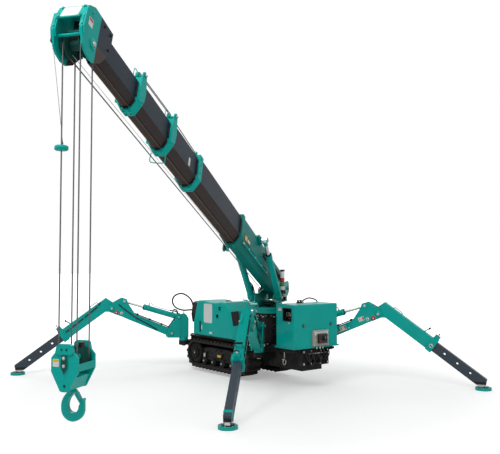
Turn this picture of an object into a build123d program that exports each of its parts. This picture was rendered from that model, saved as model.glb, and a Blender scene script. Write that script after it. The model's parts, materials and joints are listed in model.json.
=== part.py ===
from build123d import *
import math
import os

# Compact crawler crane on four swinging outriggers: slewing post, five-section boom, four-fall hook block.
# Millimetres. +X is the machine's right, +Y its tail (engine end), +Z up; z = 0 is the ground under the pads.

# ---------------------------------------------------------------- where the slewing axis stands in the frame
SLEW_X, SLEW_Y = 748.0, 352.0

FIT = 0.3                    # running gap at pins, rods, guides and rings

# ---------------------------------------------------------------- crawlers and chassis
TRACK_WIDE, TRACK_LONG, TRACK_TALL = 200.0, 1300.0, 360.0
OUTER_WIDE = 740.0                    # over both tracks
TRACK_LOW, TRACK_MID_Y = 45.0, 590.0  # underside height with the pads down, centre along Y
LUG_TALL, LUG_LONG, LUG_PITCH, BELT_THICK = 20.0, 32.0, 75.0, 28.0
TRACK_ROOM, TRACK_SIDE_ROOM = 10.0, 20.0              # from the tracks' top and inner faces to the frame
WHEEL_HALF, HUB_R, HUB_OUT, FRAME_HALF, POCKET_DEEP = 70.0, 60.0, 16.0, 50.0, 14.0
ROLLERS, ROLLER_R, ROLLER_HALF, ROLLER_SIDES = 4, 48.0, 74.0, 12
CHASSIS_HALF = OUTER_WIDE / 2 - TRACK_WIDE - TRACK_SIDE_ROOM
CHASSIS_LOW, CHASSIS_TOP = 190.0, TRACK_LOW + TRACK_TALL + TRACK_ROOM
NOSE_Y, TAIL_Y = -780.0, 1400.0
TOW_Z, TOW_BORE_R, TOW_THICK, TOW_REACH, TOW_ROUND = 320.0, 16.0, 30.0, 46.0, 42.0

# ---------------------------------------------------------------- bodywork
DECK_THICK, COVER_ROOM = 16.0, 25.0   # deck plate, and from its top to the covers
COVER_LOW, COVER_TOP = CHASSIS_TOP + DECK_THICK + COVER_ROOM, 898.0
COVER_NEAR_Y, COVER_FAR_Y, COVER_OUT = 205.0, 1085.0, 375.0
COVER_INNER, COVER_WALL_ROUND, TANK_DROP = 12.0, 24.0, 40.0     # gap at the middle, moulded edge, right cover lower
SLOT_Y, SLOT_Z, SLOT_WIDE, SLOT_LONG, SLOT_DEEP = 925.0, 563.0, 40.0, 146.0, 22.0
NOTCH_Y, NOTCH_R = 698.0, 20.0
LATCHES = [(504.0, 813.0), (552.0, 719.0)]      # y, z of the round latch cups
LATCH_R, LATCH_DEEP = 17.0, 8.0
CONSOLE = (-333.0, 328.0, -801.0, -495.0, 444.0, 919.0)   # x0, x1, y0, y1, z0, z1
CONSOLE_ROUND, LIP_OUT, LIP_TALL = 22.0, 8.0, 14.0
WINDOW = (48.0, 179.0, 42.0, 173.0, 70.0)       # from the near face, from the top, depth
PANEL = (-75.0, 155.0, 20.0, 190.0, 30.0)       # x0, x1, above the console's foot, standing out
COLUMN_R, RING_R, RING_LOW, RING_TOP, TABLE_TOP = 140.0, 175.0, 780.0, 820.0, 850.0

# ---------------------------------------------------------------- slewing post and boom attitude
BOOM_HEAD_DEG, BOOM_RISE_DEG = 216.9, 18.05   # plan direction from +X, elevation
FOOT_BACK, FOOT_Z = 255.0, 1079.0             # the boom's centre line at its foot
PIVOT = (-262.0, 1022.0)                      # boom pin: forward of the axis, height
RAM_FOOT, RAM_EYE = (250.0, 970.0), (940.0, 1609.0)
RAM_SIDE, RAM_R, RAM_ROD_R, RAM_BARREL = 164.0, 36.0, 21.0, 720.0
POST_IN, POST_PLATE, FLANGE_TOP = 106.0, 12.0, COVER_TOP + 20
LAMP_AT, LAMP_STEM, LAMP_TALL = -25.0, 124.0, 364.0   # along the boom from the slewing axis, stem, overall
WINCH, WINCH_RIM, WINCH_DRUM, WRAPS = (-500.0, 1050.0), 85.0, 62.0, 8
WRAP = 2 * (POST_IN - 18) / WRAPS              # pitch of the rope on the drum

# boom sections: width, height, wall, front end along the boom, tail end along the boom
SECTIONS = [  # name, wide, tall, wall, front, tail
    ("boom_section_1", 200.0, 286.0, 6.0, 2000.0, -100.0),
    ("boom_section_2", 176.0, 262.0, 6.0, 3300.0, 1360.0),
    ("boom_section_3", 152.0, 238.0, 6.0, 3900.0, 2010.0),
    ("boom_section_4", 130.0, 214.0, 5.0, 4450.0, 2600.0),
    ("boom_section_5", 108.0, 190.0, 5.0, 4930.0, 3150.0),
]
COLLAR_LONG, COLLAR_GROW = 74.0, 12.0
ROPE_POSTS, POST_RISE = (2, 3), 58.0           # which collars carry a guide pulley, and how high above them
PULLEY_R, PULLEY_WIDE, PULLEY_SIDE = 30.0, 16.0, -0.25

# ---------------------------------------------------------------- head, falls and hook
SHEAVE_AT, SHEAVE_R, SHEAVE_Y, SHEAVE_WIDE = (5090.0, -90.0), 66.0, 53.0, 26.0
ROPE_R = 4.0
BLOCK_TOP, BLOCK_LOW, HOOK_LOW = 966.0, 717.0, 548.0
BLOCK_HALF, BLOCK_DEEP, BLOCK_PLATE, BLOCK_PIN_R = 78.0, 96.0, 12.0, 14.0   # half width, half depth, cheek, pin
HOOK_THICK, HOOK_EASE = 30.0, 5.0

# ---------------------------------------------------------------- outriggers: profile in the leg's own upright plane
LEGS = [  # name, bracket x, bracket y, plan direction from +X in degrees
    ("near_left", -328.0, -200.0, 223.6),
    ("near_right", 328.0, -200.0, 299.8),
    ("far_left", -362.0, 1328.0, 157.2),
    ("far_right", 362.0, 1328.0, 22.8),
]
ARM_ROOT, KNEE = (166.0, 456.0), (932.0, 788.0)
LIFT_FOOT, LIFT_EYE = (75.0, 660.0), (775.0, 877.0)
LEG_DROP_DEG = 36.0
OUTER_FROM, OUTER_TO = -62.0, 700.0      # along the outer box from the knee
OUTER_RISE, OUTER_TALL, OUTER_WIDE_LEG = 82.0, 138.0, 92.0
STAY_TO, STAY_TALL, STAY_WIDE = 1335.0, 112.0, 70.0
PAD_R, PAD_THICK = 85.0, 26.0


def world(x, y, z=0.0):
    """A point given from the slewing axis."""
    return Vector(x + SLEW_X, y + SLEW_Y, z)


def upright(x, y, degrees):
    """An upright plane through (x, y): its own x runs outward along the plan direction, its own y runs up."""
    a = math.radians(degrees)
    return Plane(origin=world(x, y), x_dir=(math.cos(a), math.sin(a), 0), z_dir=(math.sin(a), -math.cos(a), 0))


def prism(plane, outline, low, high, mode=Mode.ADD):
    """A plate with a straight-sided outline, from low to high across the plane."""
    with BuildSketch(plane.offset(low)) as face:
        with BuildLine():
            Polyline(*outline, close=True)
        make_face()
    extrude(face.sketch, amount=high - low, mode=mode)


def disc(plane, centre, radius, low, high, mode=Mode.ADD):
    """A round across the plane."""
    with BuildSketch(plane.offset(low)) as face:
        with Locations(centre):
            Circle(radius)
    extrude(face.sketch, amount=high - low, mode=mode)


def bar(start, end, radius, mode=Mode.ADD):
    """A round bar between two points in space."""
    run = end - start
    with BuildSketch(Plane(origin=start, z_dir=run)) as face:
        Circle(radius)
    extrude(face.sketch, amount=run.length, mode=mode)


def block(x0, x1, y0, y1, z0, z1, mode=Mode.ADD):
    """A square block between limits given from the slewing axis."""
    with BuildSketch(Plane(origin=world(0, 0, z0))) as face:
        with Locations(((x0 + x1) / 2, (y0 + y1) / 2)):
            Rectangle(x1 - x0, y1 - y0)
    extrude(face.sketch, amount=z1 - z0, mode=mode)


def save(builder, name):
    builder.part.label = name
    export_step(builder.part, f"parts/{name}.step")


os.makedirs("parts", exist_ok=True)
GROUND = Plane(origin=world(0, 0, 0))

# ================================================================ crawlers
side_of_track = Plane(origin=world(0, 0, 0), x_dir=(0, 1, 0), z_dir=(1, 0, 0))   # own x along +Y, own y up
track_r = TRACK_TALL / 2
wheel_span = TRACK_LONG / 2 - track_r
wheel_z = TRACK_LOW + track_r
belt_r = track_r - LUG_TALL


def lug_places():
    """Where each lug stands round the loop: point on the belt's outside and outward direction."""
    straight, turn = 2 * wheel_span, math.pi * belt_r
    total = 2 * straight + 2 * turn
    count = round(total / LUG_PITCH)
    for i in range(count):
        t = (i + 0.5) * total / count
        if t < straight:
            yield (-wheel_span + t, belt_r), 90.0
        elif t < straight + turn:
            a = math.pi / 2 - (t - straight) / belt_r
            yield (wheel_span + belt_r * math.cos(a), belt_r * math.sin(a)), math.degrees(a)
        elif t < 2 * straight + turn:
            yield (wheel_span - (t - straight - turn), -belt_r), -90.0
        else:
            a = -math.pi / 2 - (t - 2 * straight - turn) / belt_r
            yield (-wheel_span + belt_r * math.cos(a), belt_r * math.sin(a)), math.degrees(a)


for name, x0 in (("track_left", -OUTER_WIDE / 2), ("track_right", OUTER_WIDE / 2 - TRACK_WIDE)):
    with BuildPart() as track:
        with BuildSketch(side_of_track.offset(x0)) as loop:
            with Locations((TRACK_MID_Y, wheel_z)):
                SlotCenterToCenter(2 * wheel_span, 2 * belt_r)
            for (px, py), turn in lug_places():
                with Locations(Location((TRACK_MID_Y + px, wheel_z + py, 0), (0, 0, turn))):
                    Rectangle(2 * LUG_TALL, LUG_LONG)
            with Locations((TRACK_MID_Y, wheel_z)):
                SlotCenterToCenter(2 * wheel_span, 2 * (belt_r - BELT_THICK), mode=Mode.SUBTRACT)
        extrude(loop.sketch, amount=TRACK_WIDE)
    save(track, name)

wheel_r = belt_r - BELT_THICK - FIT
with BuildPart() as track_frames:
    for x0 in (-OUTER_WIDE / 2, OUTER_WIDE / 2 - TRACK_WIDE):
        middle = Plane(origin=world(x0 + TRACK_WIDE / 2, TRACK_MID_Y, wheel_z), x_dir=(0, 1, 0), z_dir=(1, 0, 0))
        # idler and sprocket wheels, their hubs, and the flanged rollers along the lower run
        for half, shapes in ((WHEEL_HALF, (wheel_r,)), (WHEEL_HALF + HUB_OUT, (HUB_R,))):
            with BuildSketch(middle.offset(-half)) as wheels:
                with Locations((-wheel_span, 0), (wheel_span, 0)):
                    for r in shapes:
                        Circle(r)
            extrude(wheels.sketch, amount=2 * half)
        with BuildSketch(middle.offset(-ROLLER_HALF)) as rollers:
            with GridLocations(2 * wheel_span / (ROLLERS + 1), 0, ROLLERS, 1):
                with Locations((0, ROLLER_R - wheel_r)):
                    RegularPolygon(ROLLER_R, ROLLER_SIDES)
        extrude(rollers.sketch, amount=2 * ROLLER_HALF)
        # side frame, lower at its ends, with two openings that show the rollers' carrier
        with BuildSketch(middle.offset(-FRAME_HALF)) as rail:
            with BuildLine():
                Polyline((-wheel_span, -62), (wheel_span, -62), (wheel_span, 46), (200, 88), (-200, 88),
                         (-wheel_span, 46), close=True)
            make_face()
        extrude(rail.sketch, amount=2 * FRAME_HALF)
        with BuildSketch(middle.offset(-FRAME_HALF)) as pockets:
            with GridLocations(330, 0, 2, 1):
                Trapezoid(250, 74, 65)
        extrude(pockets.sketch, amount=POCKET_DEEP, mode=Mode.SUBTRACT)
        with BuildSketch(middle.offset(FRAME_HALF - POCKET_DEEP)) as pockets:
            with GridLocations(330, 0, 2, 1):
                Trapezoid(250, 74, 65)
        extrude(pockets.sketch, amount=POCKET_DEEP, mode=Mode.SUBTRACT)
save(track_frames, "track_frames")

# ================================================================ chassis
with BuildPart() as chassis:
    block(-CHASSIS_HALF, CHASSIS_HALF, NOSE_Y + 60, TAIL_Y - 60, CHASSIS_LOW, CHASSIS_TOP)
    # cross tubes that carry the track frames
    for y in (TRACK_MID_Y - 250, TRACK_MID_Y + 250):
        block(-OUTER_WIDE / 2 + TRACK_WIDE - 50, OUTER_WIDE / 2 - TRACK_WIDE + 50, y - 45, y + 45, 200, 285)
    # end beams with the outriggers' lower ears
    for name, x, y, turn in LEGS:
        block(min(x, 0), max(x, 0), y - 62, y + 62, 300, 358)
        disc(GROUND, (x, y), 62, 300, 358)
        disc(GROUND, (x, y), 30 + FIT, 290, 370, Mode.SUBTRACT)
    # deck plate under the bodywork, with the nose plate and the console's carrier
    block(-300, 300, COVER_NEAR_Y, TAIL_Y - 120, CHASSIS_TOP, CHASSIS_TOP + DECK_THICK)
    block(-145, 145, COVER_NEAR_Y + 40, COVER_FAR_Y - 40, CHASSIS_TOP + DECK_THICK, COVER_LOW)
    block(-200, 200, NOSE_Y, NOSE_Y + 60, 250, 430)
    block(-200, 200, TAIL_Y - 24, TAIL_Y, 250, 430)
    block(-230, 230, NOSE_Y + 20, -520, CHASSIS_TOP - 15, CONSOLE[4])
save(chassis, "chassis_frame")

with BuildPart() as column:
    # fixed column under the slewing ring, with its foot plate and four gussets
    disc(GROUND, (0, 0), COLUMN_R, CHASSIS_TOP, RING_LOW)
    disc(GROUND, (0, 0), RING_R, RING_LOW - 24, RING_LOW)
    block(-COLUMN_R - 30, COLUMN_R + 30, -COLUMN_R - 20, COLUMN_R + 20, CHASSIS_TOP, CHASSIS_TOP + 14)
    for along_x in (True, False):
        flat = Plane.XZ if along_x else Plane.YZ
        gusset = Plane(origin=world(0, 0, 0), x_dir=flat.x_dir, z_dir=flat.z_dir)
        prism(gusset, [(-COLUMN_R - 18, CHASSIS_TOP + 14), (COLUMN_R + 18, CHASSIS_TOP + 14), (COLUMN_R, 700),
                       (-COLUMN_R, 700)], -7, 7)
save(column, "slewing_column")

with BuildPart() as lugs:
    for face, outward in ((NOSE_Y, -1), (TAIL_Y, 1)):
        with BuildSketch(side_of_track.offset(-TOW_THICK / 2)) as lug:
            with Locations((face + outward * TOW_REACH / 2, TOW_Z)):
                Rectangle(TOW_REACH, 2 * TOW_ROUND)
            with Locations((face + outward * TOW_REACH, TOW_Z)):
                Circle(TOW_ROUND)
                Circle(TOW_BORE_R, mode=Mode.SUBTRACT)
        extrude(lug.sketch, amount=TOW_THICK)
save(lugs, "towing_lugs")

# ================================================================ bodywork on the chassis
def bonnet(top):
    """Side profile of a moulded cover: raked ends, a brow over the near end and a slight wave along its top."""
    span = COVER_FAR_Y - COVER_NEAR_Y
    with BuildSketch(side_of_track) as profile:
        with BuildLine():
            Polyline((COVER_NEAR_Y + 5, COVER_LOW), (COVER_FAR_Y, COVER_LOW), (COVER_FAR_Y, COVER_LOW + 150),
                     (COVER_FAR_Y - 92, top - 6), (COVER_FAR_Y - 0.25 * span, top), (COVER_FAR_Y - 0.42 * span, top - 18),
                     (COVER_FAR_Y - 0.55 * span, top - 16), (COVER_FAR_Y - 0.68 * span, top - 2),
                     (COVER_NEAR_Y + 190, top - 8), (COVER_NEAR_Y + 62, top - 112), (COVER_NEAR_Y, COVER_LOW + 130),
                     close=True)
        make_face()
        upper = profile.vertices().sort_by(Axis.Z)[2:]
        fillet(upper, radius=30)
    return profile.sketch


for name, s, top in (("engine_cover", -1, COVER_TOP), ("tank_cover", 1, COVER_TOP - TANK_DROP)):
    outside = s * COVER_OUT
    with BuildPart() as cover:
        extrude(bonnet(top).moved(Location((s * COVER_INNER, 0, 0))), amount=COVER_OUT - COVER_INNER, dir=(s, 0, 0))
        rim = cover.faces().sort_by(Axis.X)[0 if s < 0 else -1].edges().filter_by(
            lambda e: e.center().Z > COVER_LOW + 1)
        fillet(rim, radius=COVER_WALL_ROUND)
        # the near corner leans in above a crease
        lean = Plane(origin=world(outside, COVER_NEAR_Y + 46, COVER_LOW),
                     x_dir=Vector(0, 118, COVER_TOP - COVER_LOW), z_dir=Vector(s * 62, -70, 15))
        split(bisect_by=lean, keep=Keep.BOTTOM)
        # cable slot, bottom notch and latch cups in the side
        side = Plane(origin=world(outside, 0, 0), x_dir=(0, 1, 0), z_dir=(1, 0, 0))
        with BuildSketch(side) as slot:
            with Locations((SLOT_Y, SLOT_Z)):
                SlotOverall(SLOT_LONG, SLOT_WIDE, rotation=90)
            with Locations((NOTCH_Y, COVER_LOW)):
                RegularPolygon(NOTCH_R, 6)
        extrude(slot.sketch, amount=-s * SLOT_DEEP, mode=Mode.SUBTRACT)
        with BuildSketch(side) as cups:
            with Locations(*LATCHES):
                Circle(LATCH_R)
        extrude(cups.sketch, amount=-s * LATCH_DEEP, mode=Mode.SUBTRACT)
    save(cover, name)

with BuildPart() as engine:
    block(-150, 150, COVER_FAR_Y + 8, COVER_FAR_Y + 190, CHASSIS_TOP + DECK_THICK, 700)
    # radiator with a raked outer face and cooling ribs
    radiator = Plane(origin=world(0, COVER_FAR_Y + 8, 0), x_dir=(1, 0, 0), z_dir=(0, -1, 0))
    prism(radiator, [(-110, 600), (-300, 600), (-318, 700), (-296, 850), (-255, 868), (-110, 868)], -120, 0)
    with BuildSketch(radiator.offset(-128)) as ribs:
        with Locations((-205, 740)):
            with GridLocations(34, 0, 5, 1):
                Rectangle(12, 210)
    extrude(ribs.sketch, amount=10)
save(engine, "engine_and_radiator")

x0, x1, y0, y1, z0, z1 = CONSOLE
with BuildPart() as console:
    block(x0, x1, y0, y1, z0, z1)
    fillet(console.edges().filter_by(Axis.Z), radius=CONSOLE_ROUND)
    fillet(console.faces().sort_by(Axis.Z)[-1].edges(), radius=CONSOLE_ROUND / 2)
    block(x0 - LIP_OUT, x1 + LIP_OUT, y0 - LIP_OUT, y1 + LIP_OUT, z0, z0 + LIP_TALL)
    near, far, above, below, deep = WINDOW
    block(x0 - 1, x0 + deep, y0 + near, y0 + far, z1 - below, z1 - above, mode=Mode.SUBTRACT)
    # gauge and switch bank at the back of the window
    gauge = Plane(origin=world(x0 + deep + 1, (2 * y0 + near + far) / 2, z1 - (above + below) / 2),
                  x_dir=(0, 1, 0), z_dir=(-1, 0, 0))
    with BuildSketch(gauge) as dials:
        with GridLocations(62, 0, 2, 1):
            Circle(24)
    extrude(dials.sketch, amount=30)
save(console, "console_housing")

left, right_side, low, high, out = PANEL
with BuildPart() as panel:
    block(left, right_side, y0 - out, y0, z0 + low, z0 + high)
    chamfer(panel.faces().sort_by(Axis.Y)[0].edges(), length=6)
    block(left + 55, right_side - 50, y0 - 2 * out, y0 - out, z0 + low + 30, z0 + high - 40)
save(panel, "control_panel")

# ================================================================ slewing post
boom_plan = upright(0, 0, BOOM_HEAD_DEG)
with BuildPart() as post:
    disc(GROUND, (0, 0), RING_R, RING_LOW + FIT, RING_TOP)
    disc(GROUND, (0, 0), RING_R + 10, RING_TOP, TABLE_TOP)
    for s in (-1, 1):
        low, high = sorted((s * POST_IN, s * (POST_IN + POST_PLATE)))
        prism(boom_plan, [(-140, TABLE_TOP - 5), (140, TABLE_TOP - 5), (155, COVER_TOP + 8), (300, 932), (305, 990),
                          (262, 1020), (150, 1010), (-120, 1050), (-230, 1090), (-340, 1100), (-480, 1145),
                          (-560, 1120), (-570, 1000), (-460, 950), (-250, COVER_TOP + 14),
                          (-155, COVER_TOP + 8)], low, high)
        # lower pins of the derricking rams
        low, high = sorted((s * (POST_IN + POST_PLATE - 1), s * (RAM_SIDE + 32)))
        disc(boom_plan, RAM_FOOT, 15, low, high)
        # deck flange on each side, and a hole that lightens the plate
        low, high = sorted((s * (POST_IN + POST_PLATE - 1), s * (POST_IN + POST_PLATE + 50)))
        prism(boom_plan, [(-225, FLANGE_TOP - 12), (205, FLANGE_TOP - 12), (205, FLANGE_TOP),
                          (-225, FLANGE_TOP)], low, high)
        low, high = sorted((s * (POST_IN - 1), s * (POST_IN + POST_PLATE + 1)))
        disc(boom_plan, (-400, 1040), 32, low, high, Mode.SUBTRACT)
    # boom pin
    disc(boom_plan, PIVOT, 24, -POST_IN - POST_PLATE - 8, POST_IN + POST_PLATE + 8)
    # cross plates that tie the two sides
    prism(boom_plan, [(-188, COVER_TOP + 8), (-155, COVER_TOP + 8), (-140, TABLE_TOP - 5), (-128, TABLE_TOP - 5),
                      (-145, COVER_TOP + 18), (-188, COVER_TOP + 18)], -POST_IN, POST_IN)
save(post, "slewing_post")

drum = Plane(origin=boom_plan.from_local_coords(Vector(*WINCH, 0)), x_dir=boom_plan.z_dir, z_dir=boom_plan.y_dir)
with BuildPart() as winch:
    # drum between its flanges, with the rope's layers as grooves, turned about its own axis
    with BuildSketch(drum) as profile:
        with BuildLine():
            Polyline((-POST_IN, 0), (-POST_IN, WINCH_RIM), (-POST_IN + 18, WINCH_RIM),
                     *[(-POST_IN + 18 + WRAP * i / 2, WINCH_DRUM + (8 if i % 2 else 0)) for i in range(WRAPS * 2 + 1)],
                     (POST_IN - 18, WINCH_RIM), (POST_IN, WINCH_RIM), (POST_IN, 0), close=True)
        make_face()
    revolve(profile.sketch, axis=Axis(drum.origin, drum.x_dir))
save(winch, "hoist_winch")

with BuildPart() as lamp:
    foot = boom_plan.from_local_coords(Vector(LAMP_AT, FLANGE_TOP, -POST_IN - POST_PLATE - 30))
    bar(foot, foot + Vector(0, 0, LAMP_STEM), 8)
    bar(foot + Vector(0, 0, LAMP_STEM - 2), foot + Vector(0, 0, LAMP_TALL), 27)
save(lamp, "signal_lamp")

# ================================================================ boom
rise = math.radians(BOOM_RISE_DEG)
plan = math.radians(BOOM_HEAD_DEG)
ahead = Vector(math.cos(plan), math.sin(plan), 0)
along = ahead * math.cos(rise) + Vector(0, 0, math.sin(rise))
right = Vector(math.sin(plan), -math.cos(plan), 0)
foot = world(0, 0, FOOT_Z) - ahead * FOOT_BACK
boom_side = Plane(origin=foot, x_dir=along, z_dir=right)     # own x along the boom, own y square to it, upward


def section_outline(wide, tall, shrink=0.0):
    """Flat top, upright sides and a folded belly."""
    w, h, s = wide / 2, tall / 2, shrink
    return [(-w + s, h - s), (w - s, h - s), (w - s, -h + 0.30 * tall), (w * 0.42 - s * 0.4, -h + s),
            (-w * 0.42 + s * 0.4, -h + s), (-w + s, -h + 0.30 * tall)]


def across(distance):
    """The plane square to the boom at a distance along it."""
    return Plane(origin=boom_side.from_local_coords(Vector(distance, 0, 0)), x_dir=right * -1, z_dir=along)


def tube(wide, tall, wall, tail, front):
    with BuildSketch(across(tail)) as face:
        with BuildLine():
            Polyline(*section_outline(wide, tall), close=True)
        make_face()
        with BuildLine():
            Polyline(*section_outline(wide, tall, wall), close=True)
        make_face(mode=Mode.SUBTRACT)
    extrude(face.sketch, amount=front - tail)


def ring(tail, front, outside, inside):
    """A length of folded tube between an outside and an inside width and height."""
    with BuildSketch(across(tail)) as face:
        for (wide, tall), mode in ((outside, Mode.ADD), (inside, Mode.SUBTRACT)):
            with BuildLine():
                Polyline(*section_outline(wide, tall), close=True)
            make_face(mode=mode)
    extrude(face.sketch, amount=front - tail)


def local(point):
    """A point of the upright plan plane, given along and square to the boom."""
    spot = boom_side.to_local_coords(boom_plan.from_local_coords(Vector(point[0], point[1], 0)))
    return (spot.X, spot.Y)


for i, (name, wide, tall, wall, front, tail) in enumerate(SECTIONS):
    with BuildPart() as section:
        tube(wide, tall, wall, tail, front)
        if i < 4:
            # collar with wear pads that close on the next section
            _, next_wide, next_tall, _, _, _ = SECTIONS[i + 1]
            ring(front - COLLAR_LONG, front, (wide + 2 * COLLAR_GROW, tall + 2 * COLLAR_GROW),
                 (next_wide + 2 * FIT, next_tall + 2 * FIT))
        if i in ROPE_POSTS:
            # cheeks on the collar that carry a guide pulley over the section's top
            reach = tall / 2 + COLLAR_GROW
            for s in (-1, 1):
                low, high = sorted((s * (wide / 2 + COLLAR_GROW - 1), s * (wide / 2 + COLLAR_GROW + 7)))
                prism(boom_side, [(front, -0.25 * tall), (front, reach), (front - 12, reach + POST_RISE - 14),
                                  (front - 34, reach + POST_RISE), (front - 60, reach + POST_RISE - 10),
                                  (front - 88, 0.2 * tall), (front - COLLAR_LONG, -0.15 * tall)], low, high)
                disc(boom_side, (front - 40, reach + POST_RISE - 26), 12, low + s * 6, high + s * 6)
            low, high = PULLEY_SIDE * wide - PULLEY_WIDE / 2, PULLEY_SIDE * wide + PULLEY_WIDE / 2
            disc(boom_side, (front - 40, reach + POST_RISE - 26), PULLEY_R, low, high)
            disc(boom_side, (front - 40, reach + POST_RISE - 26), 9, -wide / 2 - COLLAR_GROW, wide / 2 + COLLAR_GROW)
        if i == 1:
            # rope anchor on the first collar
            reach = tall / 2 + COLLAR_GROW
            prism(boom_side, [(front - 58, reach - 1), (front - 8, reach - 1), (front - 14, reach + 34),
                              (front - 46, reach + 34)], -34, -22)
            prism(boom_side, [(front - 58, reach - 1), (front - 8, reach - 1), (front - 14, reach + 34),
                              (front - 46, reach + 34)], 22, 34)
        if i == 0:
            # sloping tail with its plate, pin hole and the cap that ties the ram eyes over the top
            prism(boom_side, [(tail - 5, -20), (tail - 5, tall / 2 + 5), (62, tall / 2 + 5)], -wide, wide, Mode.SUBTRACT)
            prism(boom_side, [(tail, -tall / 2 + 6), (tail + 8, -tall / 2 + 6), (tail + 8, -20), (62, tall / 2 - 9),
                              (62, tall / 2), (tail, -20)], -wide / 2 + 5, wide / 2 - 5)
            disc(boom_side, local(PIVOT), 24 + FIT, -wide / 2 - 3, wide / 2 + 3, Mode.SUBTRACT)
            ex, ey = local(RAM_EYE)
            prism(boom_side, [(ex - 90, tall / 2 - 1), (ex + 90, tall / 2 - 1), (ex + 60, tall / 2 + 28),
                              (ex - 60, tall / 2 + 28)], -wide / 2 - 24, wide / 2 + 24)
            for s in (-1, 1):
                low, high = sorted((s * wide / 2, s * (wide / 2 + 24)))
                prism(boom_side, [(ex - 90, tall / 2 + 2), (ex + 90, tall / 2 + 2), (ex + 30, ey - 44),
                                  (ex - 30, ey - 44)], low, high)
                low, high = sorted((s * (wide / 2 + 23), s * (RAM_SIDE - 30 - FIT)))
                disc(boom_side, (ex, ey), 34, low, high)
    save(section, name)

# boom head: two cheeks, a front plate and the pins of the head sheaves
sx, sy = SHEAVE_AT
head_outline = [(4900, 112), (5125, 124), (5190, 92), (5224, -2), (5222, -72), (5190, -150), (5150, -178),
                (5095, -190), (5040, -180), (4985, -140), (4925, -60), (4900, -40)]
HEAD_IN, HEAD_PLATE = 78.0, 12.0              # inside the cheeks, and each cheek
GUARDS = [(5175, -80), (5090, 0)]           # rods that keep the rope in the sheaves
with BuildPart() as head:
    for s in (-1, 1):
        low, high = sorted((s * HEAD_IN, s * (HEAD_IN + HEAD_PLATE)))
        prism(boom_side, head_outline, low, high)
        low, high = sorted((s * 54.5, s * HEAD_IN))
        prism(boom_side, [(4905, 90), (4950, 90), (4950, -30), (4905, -30)], low, high)
        # flange down the front edge of each cheek
        low, high = sorted((s * 70.0, s * 100.0))
        prism(boom_side, [(5204, 40), (5216, 38), (5222, -60), (5204, -104), (5196, -98), (5210, -58)], low, high)
    # raked front plate, top plate and the lifting lug on it
    prism(boom_side, [(5178, 92), (5190, 92), (5224, 0), (5212, 0)], -HEAD_IN, HEAD_IN)
    prism(boom_side, [(4990, 103), (5125, 112), (5125, 124), (4990, 115)], -HEAD_IN, HEAD_IN)
    prism(boom_side, [(5048, 118), (5112, 122), (5100, 146), (5060, 144)], -22, 22)
    disc(boom_side, SHEAVE_AT, 17, -HEAD_IN - 18, HEAD_IN + 18)
    for spot in GUARDS:
        disc(boom_side, spot, 9, -HEAD_IN, HEAD_IN)
save(head, "boom_head")

sheave_half = SHEAVE_WIDE / 2


def sheave(plane, centre, across, groove, bore):
    """A turned pulley with a rope groove: centre in the plane, place across it, groove and bore radii."""
    spot = plane.from_local_coords(Vector(centre[0], centre[1], across))
    section = Plane(origin=spot, x_dir=plane.z_dir, z_dir=plane.y_dir)
    rim = groove + 12
    with BuildSketch(section) as profile:
        with BuildLine():
            Polyline((-sheave_half, bore), (-sheave_half, rim), (-sheave_half + 5, rim), (-ROPE_R, groove),
                     (ROPE_R, groove), (sheave_half - 5, rim), (sheave_half, rim), (sheave_half, bore), close=True)
        make_face()
    revolve(profile.sketch, axis=Axis(spot, plane.z_dir))


with BuildPart() as head_sheaves:
    for y in (-SHEAVE_Y, SHEAVE_Y):
        sheave(boom_side, SHEAVE_AT, y, SHEAVE_R - ROPE_R - FIT, 17 + FIT)
save(head_sheaves, "head_sheaves")

# derricking rams either side of the boom
foot_s, eye_s = Vector(*RAM_FOOT, 0), Vector(*RAM_EYE, 0)
run = (eye_s - foot_s).normalized()
with BuildPart() as barrels:
    for s in (-1, 1):
        a = boom_plan.from_local_coords(foot_s + run * 30 + Vector(0, 0, s * RAM_SIDE))
        b = boom_plan.from_local_coords(foot_s + run * RAM_BARREL + Vector(0, 0, s * RAM_SIDE))
        bar(a, b, RAM_R)
        c = boom_plan.from_local_coords(foot_s + run * (RAM_BARREL - 50) + Vector(0, 0, s * RAM_SIDE))
        bar(c, b, RAM_R + 3)
        low, high = sorted((s * (RAM_SIDE - 26), s * (RAM_SIDE + 26)))
        disc(boom_plan, RAM_FOOT, 34, low, high)
        disc(boom_plan, RAM_FOOT, 15 + FIT, low, high, Mode.SUBTRACT)
        d = boom_plan.from_local_coords(foot_s + run * 48 + Vector(0, 0, s * RAM_SIDE))
        e = boom_plan.from_local_coords(foot_s + run * (RAM_BARREL + 5) + Vector(0, 0, s * RAM_SIDE))
        bar(d, e, RAM_ROD_R + FIT, Mode.SUBTRACT)
save(barrels, "derrick_ram_barrels")
with BuildPart() as rods:
    for s in (-1, 1):
        a = boom_plan.from_local_coords(foot_s + run * 208 + Vector(0, 0, s * RAM_SIDE))
        b = boom_plan.from_local_coords(eye_s - run * 20 + Vector(0, 0, s * RAM_SIDE))
        bar(a, b, RAM_ROD_R)
        low, high = sorted((s * (RAM_SIDE - 30), s * (RAM_SIDE + 26)))
        disc(boom_plan, RAM_EYE, 34, low, high)
save(rods, "derrick_ram_rods")

# ================================================================ falls, hook block, hook
sheave_spot = boom_side.from_local_coords(Vector(sx, sy, 0))
falls_at = sheave_spot
falls_plane = Plane(origin=Vector(falls_at.X, falls_at.Y, 0), x_dir=ahead, z_dir=right)
with BuildPart() as falls:
    for fore in (-SHEAVE_R, SHEAVE_R):
        for y in (-SHEAVE_Y, SHEAVE_Y):
            low = falls_plane.from_local_coords(Vector(fore, BLOCK_TOP - 85, y))
            high = falls_plane.from_local_coords(Vector(fore, falls_at.Z, y))
            bar(low, high, ROPE_R)
save(falls, "hoist_rope_falls")

block_z = BLOCK_TOP - 85
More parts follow.
